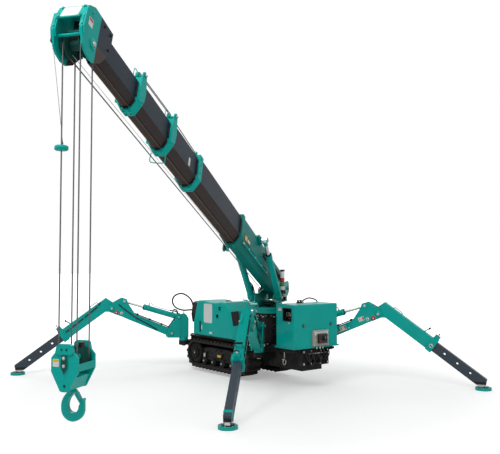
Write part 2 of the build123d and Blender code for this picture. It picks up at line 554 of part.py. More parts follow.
# the block hangs a quarter turn round from the head: its cheeks face along the boom
block_face = Plane(origin=Vector(falls_at.X, falls_at.Y, 0), x_dir=right * -1, z_dir=ahead)
cheek = [(-BLOCK_HALF, block_z + 14), (-42, BLOCK_TOP - 30), (42, BLOCK_TOP - 30), (BLOCK_HALF, block_z + 14),
         (BLOCK_HALF, block_z - 60), (26, BLOCK_LOW + 4), (14, BLOCK_LOW), (-14, BLOCK_LOW), (-26, BLOCK_LOW + 4),
         (-BLOCK_HALF, block_z - 60)]
with BuildPart() as hook_block:
    for s in (-1, 1):
        low, high = sorted((s * (BLOCK_DEEP - BLOCK_PLATE), s * BLOCK_DEEP))
        prism(block_face, cheek, low, high)
        # rain hood bent over the top of the cheek
        low, high = sorted((s * (BLOCK_DEEP - BLOCK_PLATE - 2), s * (BLOCK_DEEP + 8)))
        prism(block_face, [(-52, BLOCK_TOP - 46), (-40, BLOCK_TOP - 54), (40, BLOCK_TOP - 54), (52, BLOCK_TOP - 46),
                           (44, BLOCK_TOP - 8), (28, BLOCK_TOP), (-28, BLOCK_TOP), (-44, BLOCK_TOP - 8)], low, high)
        # guard bar on each flank
        low, high = sorted((s * (BLOCK_HALF - 8), s * BLOCK_HALF))
        prism(falls_plane, [(-BLOCK_DEEP + 6, block_z - 58), (BLOCK_DEEP - 6, block_z - 58),
                            (BLOCK_DEEP - 6, block_z - 20), (-BLOCK_DEEP + 6, block_z - 20)], low, high)
    # crosshead that carries the hook, and the sheaves' pin
    prism(block_face, [(-50, block_z - 92), (50, block_z - 92), (24, BLOCK_LOW + 6), (-24, BLOCK_LOW + 6)],
          -BLOCK_DEEP + BLOCK_PLATE, BLOCK_DEEP - BLOCK_PLATE)
    disc(block_face, (0, block_z), BLOCK_PIN_R, -BLOCK_DEEP - 6, BLOCK_DEEP + 6)
    bar(falls_plane.from_local_coords(Vector(0, BLOCK_LOW, 0)),
        falls_plane.from_local_coords(Vector(0, BLOCK_LOW + 40, 0)), BLOCK_PIN_R + FIT, Mode.SUBTRACT)
save(hook_block, "hook_block")
with BuildPart() as block_sheaves:
    for y in (-SHEAVE_R, SHEAVE_R):
        sheave(block_face, (0, block_z), y, SHEAVE_Y - ROPE_R - FIT, BLOCK_PIN_R + FIT)
save(block_sheaves, "block_sheaves")

with BuildPart() as hook:
    # pear-shaped eye, thick at the back, ending in a point on the open side
    z = HOOK_LOW
    with BuildSketch(block_face.offset(-HOOK_THICK / 2)) as outline:
        with BuildLine():
            ThreePointArc((-20, z + 160), (-56, z + 122), (-67, z + 68))
            ThreePointArc((-67, z + 68), (0, z), (67, z + 68))
            Line((67, z + 68), (66, z + 116))
            ThreePointArc((66, z + 116), (60, z + 124), (53, z + 116))
            Line((53, z + 116), (38, z + 82))
            ThreePointArc((38, z + 82), (5, z + 46), (-29, z + 80))
            ThreePointArc((-29, z + 80), (-22, z + 114), (2, z + 142))
            Line((2, z + 142), (18, z + 160))
            Line((18, z + 160), (-20, z + 160))
        make_face()
    extrude(outline.sketch, amount=HOOK_THICK)
    flats = hook.faces().filter_by(GeomType.PLANE).sort_by(SortBy.AREA)[-2:]
    chamfer(flats.edges().filter_by(GeomType.CIRCLE).sort_by(SortBy.LENGTH)[-4:], length=HOOK_EASE)
    bar(block_face.from_local_coords(Vector(0, BLOCK_LOW - 20, 0)),
        block_face.from_local_coords(Vector(0, BLOCK_LOW + 30, 0)), BLOCK_PIN_R)
save(hook, "hook")

# ================================================================ outriggers
drop = math.radians(LEG_DROP_DEG)
down_leg = (math.cos(drop), -math.sin(drop))
off_leg = (math.sin(drop), math.cos(drop))


def on_leg(distance, offset=0.0):
    """A point of the outer leg: along it from the knee, and square above the knee."""
    return (KNEE[0] + down_leg[0] * distance + off_leg[0] * offset,
            KNEE[1] + down_leg[1] * distance + off_leg[1] * offset)


arm_run = Vector(KNEE[0] - ARM_ROOT[0], KNEE[1] - ARM_ROOT[1]).normalized()
arm_up = Vector(-arm_run.Y, arm_run.X)


def on_arm(distance, offset=0.0):
    """A point of the arm: along it from its root pin, and square above it."""
    return (ARM_ROOT[0] + arm_run.X * distance + arm_up.X * offset,
            ARM_ROOT[1] + arm_run.Y * distance + arm_up.Y * offset)


arm_long = math.dist(ARM_ROOT, KNEE)
lift_run = Vector(LIFT_EYE[0] - LIFT_FOOT[0], LIFT_EYE[1] - LIFT_FOOT[1]).normalized()
for leg, bx, by, turn in LEGS:
    pl = upright(bx, by, turn)

    with BuildPart() as bracket:
        disc(GROUND, (bx, by), 58, 358 + FIT, 400)
        disc(GROUND, (bx, by), 30, 292, 362)
        prism(pl, [(-58, 400), (58, 400), (58, 690), (-30, 690), (-58, 640)], -50, 50)
        prism(pl, [(58, 395), (222, 400), (222, 500), (120, 640), (118, 700), (40, 705), (40, 640)], -64, -52)
        prism(pl, [(58, 395), (222, 400), (222, 500), (120, 640), (118, 700), (40, 705), (40, 640)], 52, 64)
        prism(pl, [(40, 640), (58, 395), (70, 395), (52, 640)], -64, 64)
        prism(pl, [(20, 586), (140, 586), (140, 760), (20, 760)], -40, 40, Mode.SUBTRACT)
        disc(pl, ARM_ROOT, 20, -72, 72)
        disc(pl, LIFT_FOOT, 14, -72, 72)
    save(bracket, f"outrigger_{leg}_bracket")

    with BuildPart() as arm:
        prism(pl, [on_arm(-38, -40), on_arm(30, -48), on_arm(640, -48), on_arm(640, 42), on_arm(60, 50),
                   on_arm(-10, 38), on_arm(-38, 12)], -46, 46)
        for s in (-1, 1):
            low, high = sorted((s * 46.0, s * 60.0))
            eye = Vector(LIFT_EYE[0] - ARM_ROOT[0], LIFT_EYE[1] - ARM_ROOT[1])
            eye_on, eye_off = eye.X * arm_run.X + eye.Y * arm_run.Y, eye.X * arm_up.X + eye.Y * arm_up.Y
            prism(pl, [on_arm(480, -40), on_arm(arm_long + 20, -52), on_arm(arm_long + 48, -10),
                       on_arm(arm_long + 40, 42), on_arm(eye_on + 44, eye_off + 30), on_arm(eye_on - 20, eye_off + 36),
                       on_arm(eye_on - 48, eye_off), on_arm(520, 40)], low, high)
            # bosses that close on the ram's eye
            low, high = sorted((s * (38 + FIT), s * 47.0))
            disc(pl, LIFT_EYE, 30, low, high)
        disc(pl, KNEE, 19, -70, 70)
        disc(pl, ARM_ROOT, 20 + FIT, -50, 50, Mode.SUBTRACT)
    save(arm, f"outrigger_{leg}_arm")

    with BuildPart() as barrel:
        a = pl.from_local_coords(Vector(*LIFT_FOOT, 0) + Vector(lift_run.X, lift_run.Y, 0) * 20)
        b = pl.from_local_coords(Vector(*LIFT_FOOT, 0) + Vector(lift_run.X, lift_run.Y, 0) * 470)
        bar(a, b, 35)
        disc(pl, LIFT_FOOT, 30, -30, 30)
        disc(pl, LIFT_FOOT, 14 + FIT, -31, 31, Mode.SUBTRACT)
        c = pl.from_local_coords(Vector(*LIFT_FOOT, 0) + Vector(lift_run.X, lift_run.Y, 0) * 70)
        d = pl.from_local_coords(Vector(*LIFT_FOOT, 0) + Vector(lift_run.X, lift_run.Y, 0) * 475)
        bar(c, d, 18 + FIT, Mode.SUBTRACT)
    save(barrel, f"outrigger_{leg}_ram_barrel")
    with BuildPart() as rod:
        a = pl.from_local_coords(Vector(*LIFT_EYE, 0) - Vector(lift_run.X, lift_run.Y, 0) * 470)
        b = pl.from_local_coords(Vector(*LIFT_EYE, 0) - Vector(lift_run.X, lift_run.Y, 0) * 15)
        bar(a, b, 18)
        disc(pl, LIFT_EYE, 28, -38, 38)
    save(rod, f"outrigger_{leg}_ram_rod")

    with BuildPart() as outer:
        low_side, top_side = OUTER_RISE - OUTER_TALL / 2, OUTER_RISE + OUTER_TALL / 2
        half = OUTER_WIDE_LEG / 2
        prism(pl, [on_leg(OUTER_FROM, low_side + 30), on_leg(OUTER_FROM + 40, top_side), on_leg(OUTER_TO, top_side),
                   on_leg(OUTER_TO, low_side), on_leg(OUTER_FROM + 10, low_side)], -half + 1, half - 1)
        prism(pl, [on_leg(-30, -26), on_leg(28, -28), on_leg(90, low_side + 1), on_leg(-45, low_side + 1)],
              -half + 1, half - 1)
        # collar round the open end
        prism(pl, [on_leg(OUTER_TO - 70, top_side + 9), on_leg(OUTER_TO, top_side + 9),
                   on_leg(OUTER_TO, low_side - 9), on_leg(OUTER_TO - 70, low_side - 9)], -half - 9, half + 9)
        # the channel the stay slides in
        for start, end, room in ((90, OUTER_TO - 60, 5), (OUTER_TO - 61, OUTER_TO + 2, FIT)):
            prism(pl, [on_leg(start, OUTER_RISE + STAY_TALL / 2 + room), on_leg(end, OUTER_RISE + STAY_TALL / 2 + room),
                       on_leg(end, OUTER_RISE - STAY_TALL / 2 - room), on_leg(start, OUTER_RISE - STAY_TALL / 2 - room)],
                  -STAY_WIDE / 2 - room, STAY_WIDE / 2 + room, Mode.SUBTRACT)
        disc(pl, KNEE, 19 + FIT, -50, 50, Mode.SUBTRACT)
        # clamp box and pull handle on top of the open end
        prism(pl, [on_leg(OUTER_TO - 66, top_side + 8), on_leg(OUTER_TO - 6, top_side + 8),
                   on_leg(OUTER_TO - 6, top_side + 46), on_leg(OUTER_TO - 66, top_side + 46)], -26, 26)
        for s in (-1, 1):
            low, high = sorted((s * 28.0, s * 38.0))
            prism(pl, [on_leg(OUTER_TO - 190, top_side - 1), on_leg(OUTER_TO - 180, top_side - 1),
                       on_leg(OUTER_TO - 150, top_side + 62), on_leg(OUTER_TO - 162, top_side + 62)], low, high)
        a = pl.from_local_coords(Vector(*on_leg(OUTER_TO - 156, top_side + 62), -38))
        b = pl.from_local_coords(Vector(*on_leg(OUTER_TO - 156, top_side + 62), 38))
        bar(a, b, 7)
    save(outer, f"outrigger_{leg}_outer_box")

    with BuildPart() as stay:
        prism(pl, [on_leg(560, OUTER_RISE + STAY_TALL / 2), on_leg(STAY_TO, OUTER_RISE + STAY_TALL / 2),
                   on_leg(STAY_TO + 24, OUTER_RISE), on_leg(STAY_TO, OUTER_RISE - STAY_TALL / 2),
                   on_leg(560, OUTER_RISE - STAY_TALL / 2)], -STAY_WIDE / 2, STAY_WIDE / 2)
        prism(pl, [on_leg(550, OUTER_RISE + STAY_TALL / 2 - 7), on_leg(STAY_TO - 90, OUTER_RISE + STAY_TALL / 2 - 7),
                   on_leg(STAY_TO - 90, OUTER_RISE - STAY_TALL / 2 + 7), on_leg(550, OUTER_RISE - STAY_TALL / 2 + 7)],
              -STAY_WIDE / 2 + 7, STAY_WIDE / 2 - 7, Mode.SUBTRACT)
        with BuildSketch(pl.offset(-STAY_WIDE)) as holes:
            with Locations(*[on_leg(OUTER_TO + 130 + i * 165, OUTER_RISE) for i in range(3)]):
                RegularPolygon(15, 8)
        extrude(holes.sketch, amount=2 * STAY_WIDE, mode=Mode.SUBTRACT)
        ankle = on_leg(STAY_TO - 10, OUTER_RISE)
        prism(pl, [(ankle[0] - 34, PAD_THICK - 2), (ankle[0] + 34, PAD_THICK - 2), (ankle[0] + 22, ankle[1]),
                   (ankle[0] - 22, ankle[1])], -24, 24)
        centre = pl.from_local_coords(Vector(ankle[0], 0, 0))
        with BuildSketch(Plane(origin=centre)) as round_pad:
            Circle(PAD_R)
        extrude(round_pad.sketch, amount=PAD_THICK)
    save(stay, f"outrigger_{leg}_stay_and_pad")
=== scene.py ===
import json
import math
import bmesh
import bpy
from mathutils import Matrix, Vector


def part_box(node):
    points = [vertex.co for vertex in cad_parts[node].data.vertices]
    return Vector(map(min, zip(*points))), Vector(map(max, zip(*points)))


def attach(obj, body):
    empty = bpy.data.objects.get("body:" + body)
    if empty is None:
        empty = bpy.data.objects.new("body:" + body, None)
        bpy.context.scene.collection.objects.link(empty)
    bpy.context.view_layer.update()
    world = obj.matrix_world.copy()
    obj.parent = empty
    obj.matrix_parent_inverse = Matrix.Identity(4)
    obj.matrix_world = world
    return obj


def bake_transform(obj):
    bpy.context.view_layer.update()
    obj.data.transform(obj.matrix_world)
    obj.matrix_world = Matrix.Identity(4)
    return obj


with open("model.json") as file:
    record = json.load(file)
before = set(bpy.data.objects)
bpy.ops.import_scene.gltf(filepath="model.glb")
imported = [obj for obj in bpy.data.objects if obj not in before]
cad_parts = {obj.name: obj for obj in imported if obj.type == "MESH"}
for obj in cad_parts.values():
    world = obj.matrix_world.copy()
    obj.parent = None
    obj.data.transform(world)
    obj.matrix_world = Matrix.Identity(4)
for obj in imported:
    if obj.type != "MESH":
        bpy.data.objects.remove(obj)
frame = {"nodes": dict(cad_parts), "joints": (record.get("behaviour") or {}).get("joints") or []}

bl_info = {
    "name": "Compact crawler crane",
    "version": (1, 0, 0),
    "blender": (4, 5, 0),
    "location": "3D View > Sidebar > Crane",
    "description": "Finishes and fittings of a compact crawler crane on four outriggers",
    "category": "Object",
}

# ---------------------------------------------------------------- places, from the imported frame's joints and given measures
JOINTS = {joint["name"]: joint for joint in frame["joints"]}
NODES = frame["nodes"]
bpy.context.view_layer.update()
LEG_NAMES = ("near_left", "near_right", "far_left", "far_right")
UP = Vector((0, 0, 1))


class Place:
    """A local frame: a point is given along its three axes, in metres."""

    def __init__(self, origin, x, y):
        self.o, self.x, self.y = Vector(origin), Vector(x).normalized(), Vector(y).normalized()
        self.z = self.x.cross(self.y)

    def at(self, a, b=0.0, c=0.0):
        return self.o + self.x * a + self.y * b + self.z * c

    def moved(self, a, b=0.0, c=0.0):
        return Place(self.at(a, b, c), self.x, self.y)

    def turned(self, angle):
        """The same frame turned about its own z."""
        c, s = math.cos(angle), math.sin(angle)
        return Place(self.o, self.x * c + self.y * s, self.y * c - self.x * s)


def pos(joint):
    return Vector(JOINTS[joint]["pos_m"])


def axis(joint):
    return Vector(JOINTS[joint]["axis"])


SLEW = Vector((*pos("slew").xy, 0))
DECK = Place(SLEW, (1, 0, 0), (0, 1, 0))
# the head sheaves: along the boom from its foot, below its middle, radius of the rope's path
SHEAVE_ALONG, SHEAVE_BELOW, SHEAVE_R = 5.090, 0.090, 0.066
BOOM = Place((0, 0, 0), axis("tele_2"), axis("luff").cross(axis("tele_2")))
BOOM = Place(pos("falls_hang") - BOOM.x * SHEAVE_ALONG + BOOM.y * SHEAVE_BELOW, BOOM.x, BOOM.y)
SECTION_WIDE = (0.200, 0.176, 0.152, 0.130, 0.108)
SECTION_TALL = (0.286, 0.262, 0.238, 0.214, 0.190)
SECTION_FRONT = (2.000, 3.300, 3.900, 4.450, 4.930)    # of each section, from the boom's foot
# how far a collar stands proud, its length, and where the head's cheeks stop lapping over the last section
COLLAR, COLLAR_LONG, HEAD_LAP = 0.012, 0.0745, 5.050
AHEAD = Vector((*BOOM.x.xy, 0)).normalized()
POST = Place(SLEW, AHEAD, UP)
HOOK = Place(Vector((*pos("hook_swivel").xy, 0)), AHEAD, UP)


def leg_place(name):
    """The upright plane of a leg: x outward, y up, z across, from the arm's root pin."""
    outward = pos(name + "_knee") - pos(name + "_lift")
    return Place(pos(name + "_lift"), (*outward.xy, 0), UP)


# ---------------------------------------------------------------- shader expressions
class Value:
    """A shader socket that takes part in Python arithmetic."""

    def __init__(self, finish, socket):
        self.finish, self.socket = finish, socket

    def _maths(self, operation, a, b):
        return self.finish.node("ShaderNodeMath", {"operation": operation}, {0: a, 1: b})

    def __add__(self, other):
        return self._maths("ADD", self, other)

    def __sub__(self, other):
        return self._maths("SUBTRACT", self, other)

    def __mul__(self, other):
        return self._maths("MULTIPLY", self, other)

    def __rsub__(self, other):
        return self._maths("SUBTRACT", other, self)

    def __gt__(self, other):
        return self._maths("GREATER_THAN", self, other)

    def __lt__(self, other):
        return self._maths("LESS_THAN", self, other)

    __radd__, __rmul__ = __add__, __mul__


class Finish:
    """A material under construction."""

    def __init__(self, name):
        self.material = bpy.data.materials.new(name)
        self.material.use_nodes = True
        self.tree = self.material.node_tree
        self.shader = self.tree.nodes["Principled BSDF"]

    def node(self, kind, settings=None, inputs=None, output=0):
        made = self.tree.nodes.new(kind)
        for key, value in (settings or {}).items():
            if key == "stops":
                for i, (place, colour) in enumerate(value):
                    stops = made.color_ramp.elements
                    stop = stops[i] if i < 2 else stops.new(place)
                    stop.position, stop.color = place, colour
            else:
                setattr(made, key, value)
        for key, value in (inputs or {}).items():
            if isinstance(value, Value):
                self.tree.links.new(value.socket, made.inputs[key])
            else:
                made.inputs[key].default_value = value
        return Value(self, made.outputs[output])

    def place(self):
        return self.node("ShaderNodeTexCoord", output="Object")

    def noise(self, scale, detail=3.0, rough=0.5, where=None):
        return self.node("ShaderNodeTexNoise", None, {
            "Vector": where or self.place(), "Scale": scale, "Detail": detail, "Roughness": rough})

    def stretched(self, scale):
        return self.node("ShaderNodeMapping", None, {"Vector": self.place(), "Scale": scale})

    def along(self, which):
        """One coordinate of the piece, 0 to 2."""
        return self.node("ShaderNodeSeparateXYZ", None, {0: self.place()}, output=which)

    def dot(self, vector, way):
        """How far a point lies along a direction."""
        return self.node("ShaderNodeVectorMath", {"operation": "DOT_PRODUCT"},
            {0: vector, 1: tuple(way)}, output=1)

    def band(self, value, low, high):
        """Ramps from 0 at low to 1 at high."""
        return self.node("ShaderNodeMapRange", {"clamp": True}, {0: value, 1: low, 2: high})

    def mix(self, factor, first, second):
        return self.node("ShaderNodeMix", {"data_type": "RGBA"}, {0: factor, 6: first, 7: second}, output=2)

    def drift(self, factor, colour, low, high):
        """A colour that wanders between a darker and a lighter shade of itself."""
        return self.mix(factor, shade(colour, low), shade(colour, high))

    def bump(self, height, strength, distance):
        return self.node("ShaderNodeBump", None, {"Height": height,
            "Strength": strength, "Distance": distance})

    def set(self, **sockets):
        """Values and links of the surface shader, by socket name with _ for a space."""
        for key, value in sockets.items():
            socket = self.shader.inputs[key.replace("_", " ")]
            if isinstance(value, Value):
                self.tree.links.new(value.socket, socket)
            else:
                socket.default_value = value
        return self.material


BLACK = (0.012, 0.011, 0.011, 1.0)
# brown of the boom's downward faces, in a darker and a lighter tone
BELLY_BROWN = (0.036, 0.024, 0.020, 1), (0.082, 0.056, 0.045, 1)
ORANGE_PEEL = 420.0                                    # noise scale of sprayed enamel


def shade(colour, factor):
    return (*[min(1.0, c * factor) for c in colour[:3]], 1.0)


def enamel(name, colour, rough=0.33, dust=0.08, coat=0.12):
    """Sprayed enamel: orange peel, faint colour drift, dust low down and in blotches, hairline scuffs."""
    f = Finish(name)
    drift = f.noise(3.1, 4.0)
    blotch = f.noise(11.0, 5.0, 0.62)
    low = 1.0 - f.band(f.along(2), 0.0, 1.1)
    scuff = f.band(f.noise(90.0, 6.0, 0.7, f.stretched((1.0, 1.0, 7.0))), 0.60, 0.72)
    grime = f.band(blotch, 0.48, 0.72) * (low * 0.8 + 0.2) * dust
    base = f.drift(drift, colour, 0.86, 1.12)
    base = f.mix(grime, base, (0.20, 0.19, 0.165, 1.0))
    base = f.mix(scuff * 0.18, base, shade(colour, 1.5))
    peel = f.noise(ORANGE_PEEL, 2.0)
    return f.set(Base_Color=base, Roughness=grime * 0.9 + scuff * 0.12 + drift * 0.10
        + (rough - 0.05), Coat_Weight=coat, Coat_Roughness=0.12,
        Specular_IOR_Level=0.12, Normal=f.bump(peel + drift * 0.6, 0.06, 0.001))


def boom_enamel(name, colour, half, front=None):
    """Dark enamel of a sliding section: brown ribbed belly with a painted highlight line and a painted
    shade line along it, and a teal collar if it has a front.
    """
    f = Finish(name)
    normal = f.node("ShaderNodeSeparateXYZ", None,
        {0: f.node("ShaderNodeTexCoord", output="Normal")}, output=2)
    # faces that look downward take the brown
    belly = f.band(0.0 - normal, 0.15, 0.60)
    across = f.dot(f.place(), BOOM.z) - BOOM.o.dot(BOOM.z)
    streaks = f.noise(26.0, 5.0, 0.6, f.stretched((0.35, 0.35, 3.0)))
    square = across * across
    # the light line on each rib is a painted highlight, raised a little by the bump too; the dark line
    # beside it is painted shade in the fold
    rib_and_highlight = (square > (half * 0.30) ** 2) * (square < (half * 0.42) ** 2) * belly
    groove_shade = (square > (half * 0.42) ** 2) * (square < (half * 0.50) ** 2) * belly
    base = f.drift(streaks, colour, 0.80, 1.25)
    base = f.mix(belly, base, f.mix(streaks, *BELLY_BROWN))
    base = f.mix(rib_and_highlight, base, (0.110, 0.084, 0.072, 1))
    base = f.mix(groove_shade, base, (0.016, 0.011, 0.010, 1))
    fine = f.noise(ORANGE_PEEL, 2.0)
    if front:
        along = f.dot(f.place(), BOOM.x) - BOOM.o.dot(BOOM.x)
        side = half + COLLAR / 2
        edge = (along > front - COLLAR_LONG) + (across > side) + (across < -side)
        base = f.mix(edge, base, f.drift(streaks, sizes().teal, 0.9, 1.1))
    return f.set(Base_Color=base, Roughness=streaks * 0.14 + belly * 0.08 + 0.40, Coat_Weight=0.01,
        Specular_IOR_Level=0.10, Normal=f.bump(fine + streaks + rib_and_highlight * 4.0, 0.06, 0.001))


def head_enamel(name):
    """Teal head whose cheeks take the colours of the last section where they lap over it; the brown that
    runs below the belly's fold also darkens the lug beneath, as painted shade under the boom's end.
    """
    f = Finish(name)
    along = f.dot(f.place(), BOOM.x) - BOOM.o.dot(BOOM.x)
    height = f.dot(f.place(), BOOM.y) - BOOM.o.dot(BOOM.y)
    streaks = f.noise(26.0, 5.0, 0.6)
    # below the fold the cheek takes the belly's brown; on the lug beneath the boom this dark stands as
    # painted shade
    lap_and_shade = f.mix(height < -0.066, f.drift(streaks, sizes().slate, 0.80, 1.25), f.mix(streaks, *BELLY_BROWN))
    base = f.mix(along < HEAD_LAP, f.drift(streaks, sizes().teal, 0.85, 1.1), lap_and_shade)
    return f.set(Base_Color=base, Roughness=streaks * 0.12 + 0.40, Coat_Weight=0.02,
        Specular_IOR_Level=0.10, Normal=f.bump(streaks + f.noise(ORANGE_PEEL, 2.0), 0.05, 0.001))


def stay_enamel(name, colour):
    """Dark enamel of a stay, worn bright where it slides, with a bright ankle ball over a teal foot pad."""
    f = Finish(name)
    pad_top, ball_top, neck_top = 0.0275, 0.060, 0.092
    height = f.along(2)
    pad = height < pad_top
    wear = f.band(f.noise(34.0, 5.0, 0.65, f.stretched((1.0, 1.0, 4.0))), 0.56, 0.74)
    drift = f.noise(5.0, 4.0)
    base = f.mix(wear * 0.35, f.drift(drift, colour, 0.85, 1.15), shade(colour, 2.2))
    ball = (height > pad_top) * (height < ball_top)
    base = f.mix((height > pad_top) * (height < neck_top), base, BLACK)
    base = f.mix(ball, base, (0.55, 0.56, 0.56, 1))
    base = f.mix(pad, base, f.drift(drift, sizes().teal, 0.85, 1.05))
    return f.set(Base_Color=base, Roughness=wear * 0.12 + drift * 0.08 + 0.34,
        Metallic=ball * 0.8, Specular_IOR_Level=0.3, Normal=f.bump(drift + wear, 0.06, 0.001))


def panel_enamel(name, colour):
    """Grey control panel whose raised box is black."""
    f = Finish(name)
    raised = f.along(1) < SLEW.y - 0.8325
    speck = f.noise(300.0, 3.0)
    drift = f.noise(9.0, 4.0)
    base = f.mix(raised, f.drift(drift, colour, 0.9, 1.1), (0.012, 0.012, 0.013, 1))
    return f.set(Base_Color=base, Roughness=speck * 0.12 + 0.38, Normal=f.bump(speck, 0.10, 0.001))


def rubber(name, colour, rough=0.72, grain=260.0):
    """Moulded rubber, chalky on its high spots."""
    f = Finish(name)
    chalk = f.band(f.noise(34.0, 6.0, 0.7), 0.45, 0.75)
    fine = f.noise(grain, 4.0)
    return f.set(Base_Color=f.mix(chalk * 0.5, shade(colour, 1.0), (0.060, 0.052, 0.047, 1.0)),
        Roughness=chalk * 0.14 + rough, Specular_IOR_Level=0.25, Normal=f.bump(fine + chalk, 0.25, 0.0012))


def bare_metal(name, colour, rough, brushed=0.0):
    """Plated or ground metal with fine tool lines and wipe marks."""
    f = Finish(name)
    lines = f.noise(160.0, 5.0, 0.6, f.stretched((1.0, 1.0, 9.0)))
    wipe = f.band(f.noise(14.0, 5.0, 0.6), 0.42, 0.75)
    return f.set(Base_Color=f.mix(wipe * 0.35, colour, shade(colour, 0.62)),
        Metallic=1.0, Roughness=wipe * 0.16 + lines * (0.05 + brushed) + rough,
        Normal=f.bump(lines, 0.05 + brushed, 0.0005))


def lamp_bands():
    """Stacked lenses of the signal lamp, from the top clear, red, green, clear, on a black stem."""
    f = Finish("signal lenses")
    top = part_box("signal_lamp")[1].z
    lens = top - 0.242
    clear, red, green = (0.82, 0.83, 0.80, 1), (0.62, 0.02, 0.03, 1), (0.02, 0.30, 0.10, 1)
    z = f.along(2)
    colour = (0.012, 0.012, 0.013, 1)
    for start, band in ((lens, clear), (lens + 0.052, green), (lens + 0.100, red), (lens + 0.148, clear)):
        colour = f.mix(z > start, colour, band)
    joint = f.noise(60.0, 2.0)
    colour = f.mix(z > top - 0.016, colour, (0.03, 0.03, 0.03, 1))
    return f.set(Base_Color=colour, Roughness=joint * 0.08 + 0.18, Coat_Weight=0.5)


MATERIALS, TREES = {}, {}


def sizes():
    return bpy.context.scene.crane_sizes


def finishes():
    """Every finish on the machine, made once."""
    made = {
        "teal": enamel("teal enamel", tuple(sizes().teal)),
        "boom_section_5": boom_enamel("boom enamel 5", tuple(sizes().slate), SECTION_WIDE[4] / 2),
        # the base section's teal at half brightness: painted shade, since it stands less lit than the other
        # teal parts
        "boom_section_1": enamel("base enamel in painted shade", shade(sizes().teal, 0.50), 0.48, 0.0, 0.0),
        "boom_head": head_enamel("head enamel"),
        "stay": stay_enamel("stay enamel", tuple(sizes().stay)),
        "black": enamel("black enamel", BLACK, 0.46, 0.15, 0.05),
        "track": rubber("track rubber", (0.015, 0.012, 0.011, 1)),
        "hose": rubber("hose rubber", (0.010, 0.010, 0.011, 1), 0.5, 700.0),
        "chrome": bare_metal("hard chrome", (0.93, 0.93, 0.94, 1), 0.24),
        "zinc": bare_metal("zinc plate", (0.55, 0.55, 0.53, 1), 0.30, 0.08),
        "wire": bare_metal("greased wire rope", (0.16, 0.16, 0.165, 1), 0.42, 0.2),
        "sheave": enamel("cast nylon", (0.010, 0.075, 0.062, 1), 0.5, 0.2, 0.0),
        "grey": panel_enamel("grey panel", (0.36, 0.35, 0.31, 1)),
        "plate": enamel("blank plate", (0.72, 0.73, 0.71, 1), 0.38, 0.08, 0.2),
        "yellow": enamel("yellow plate", (0.72, 0.50, 0.02, 1), 0.4, 0.1, 0.2),
        "red": enamel("red plate", (0.55, 0.015, 0.02, 1), 0.4, 0.1, 0.2),
        "lamp": lamp_bands(),
    }
    for i in (1, 2, 3):
        made[f"boom_section_{i + 1}"] = boom_enamel(f"boom enamel {i + 1}",
            tuple(sizes().slate), SECTION_WIDE[i] / 2, SECTION_FRONT[i])
    MATERIALS.update(made)
    for key in ("zinc", "teal", "black"):
        TREES[key] = bolt_tree(made[key])


def node_finish(name):
    """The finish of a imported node."""
    if name.startswith(("track_left", "track_right")):
        return "track"
    if "rod" in name:
        return "chrome"
    if name in MATERIALS:
        return name
    if name.endswith("stay_and_pad"):
        return "stay"
    if name in ("engine_and_radiator", "hoist_winch", "track_frames", "chassis_frame",
            "slewing_column", "towing_lugs"):
        return "black"
    return {"hoist_rope_falls": "wire", "control_panel": "grey", "head_sheaves": "sheave",
            "block_sheaves": "sheave", "signal_lamp": "lamp"}.get(name, "teal")


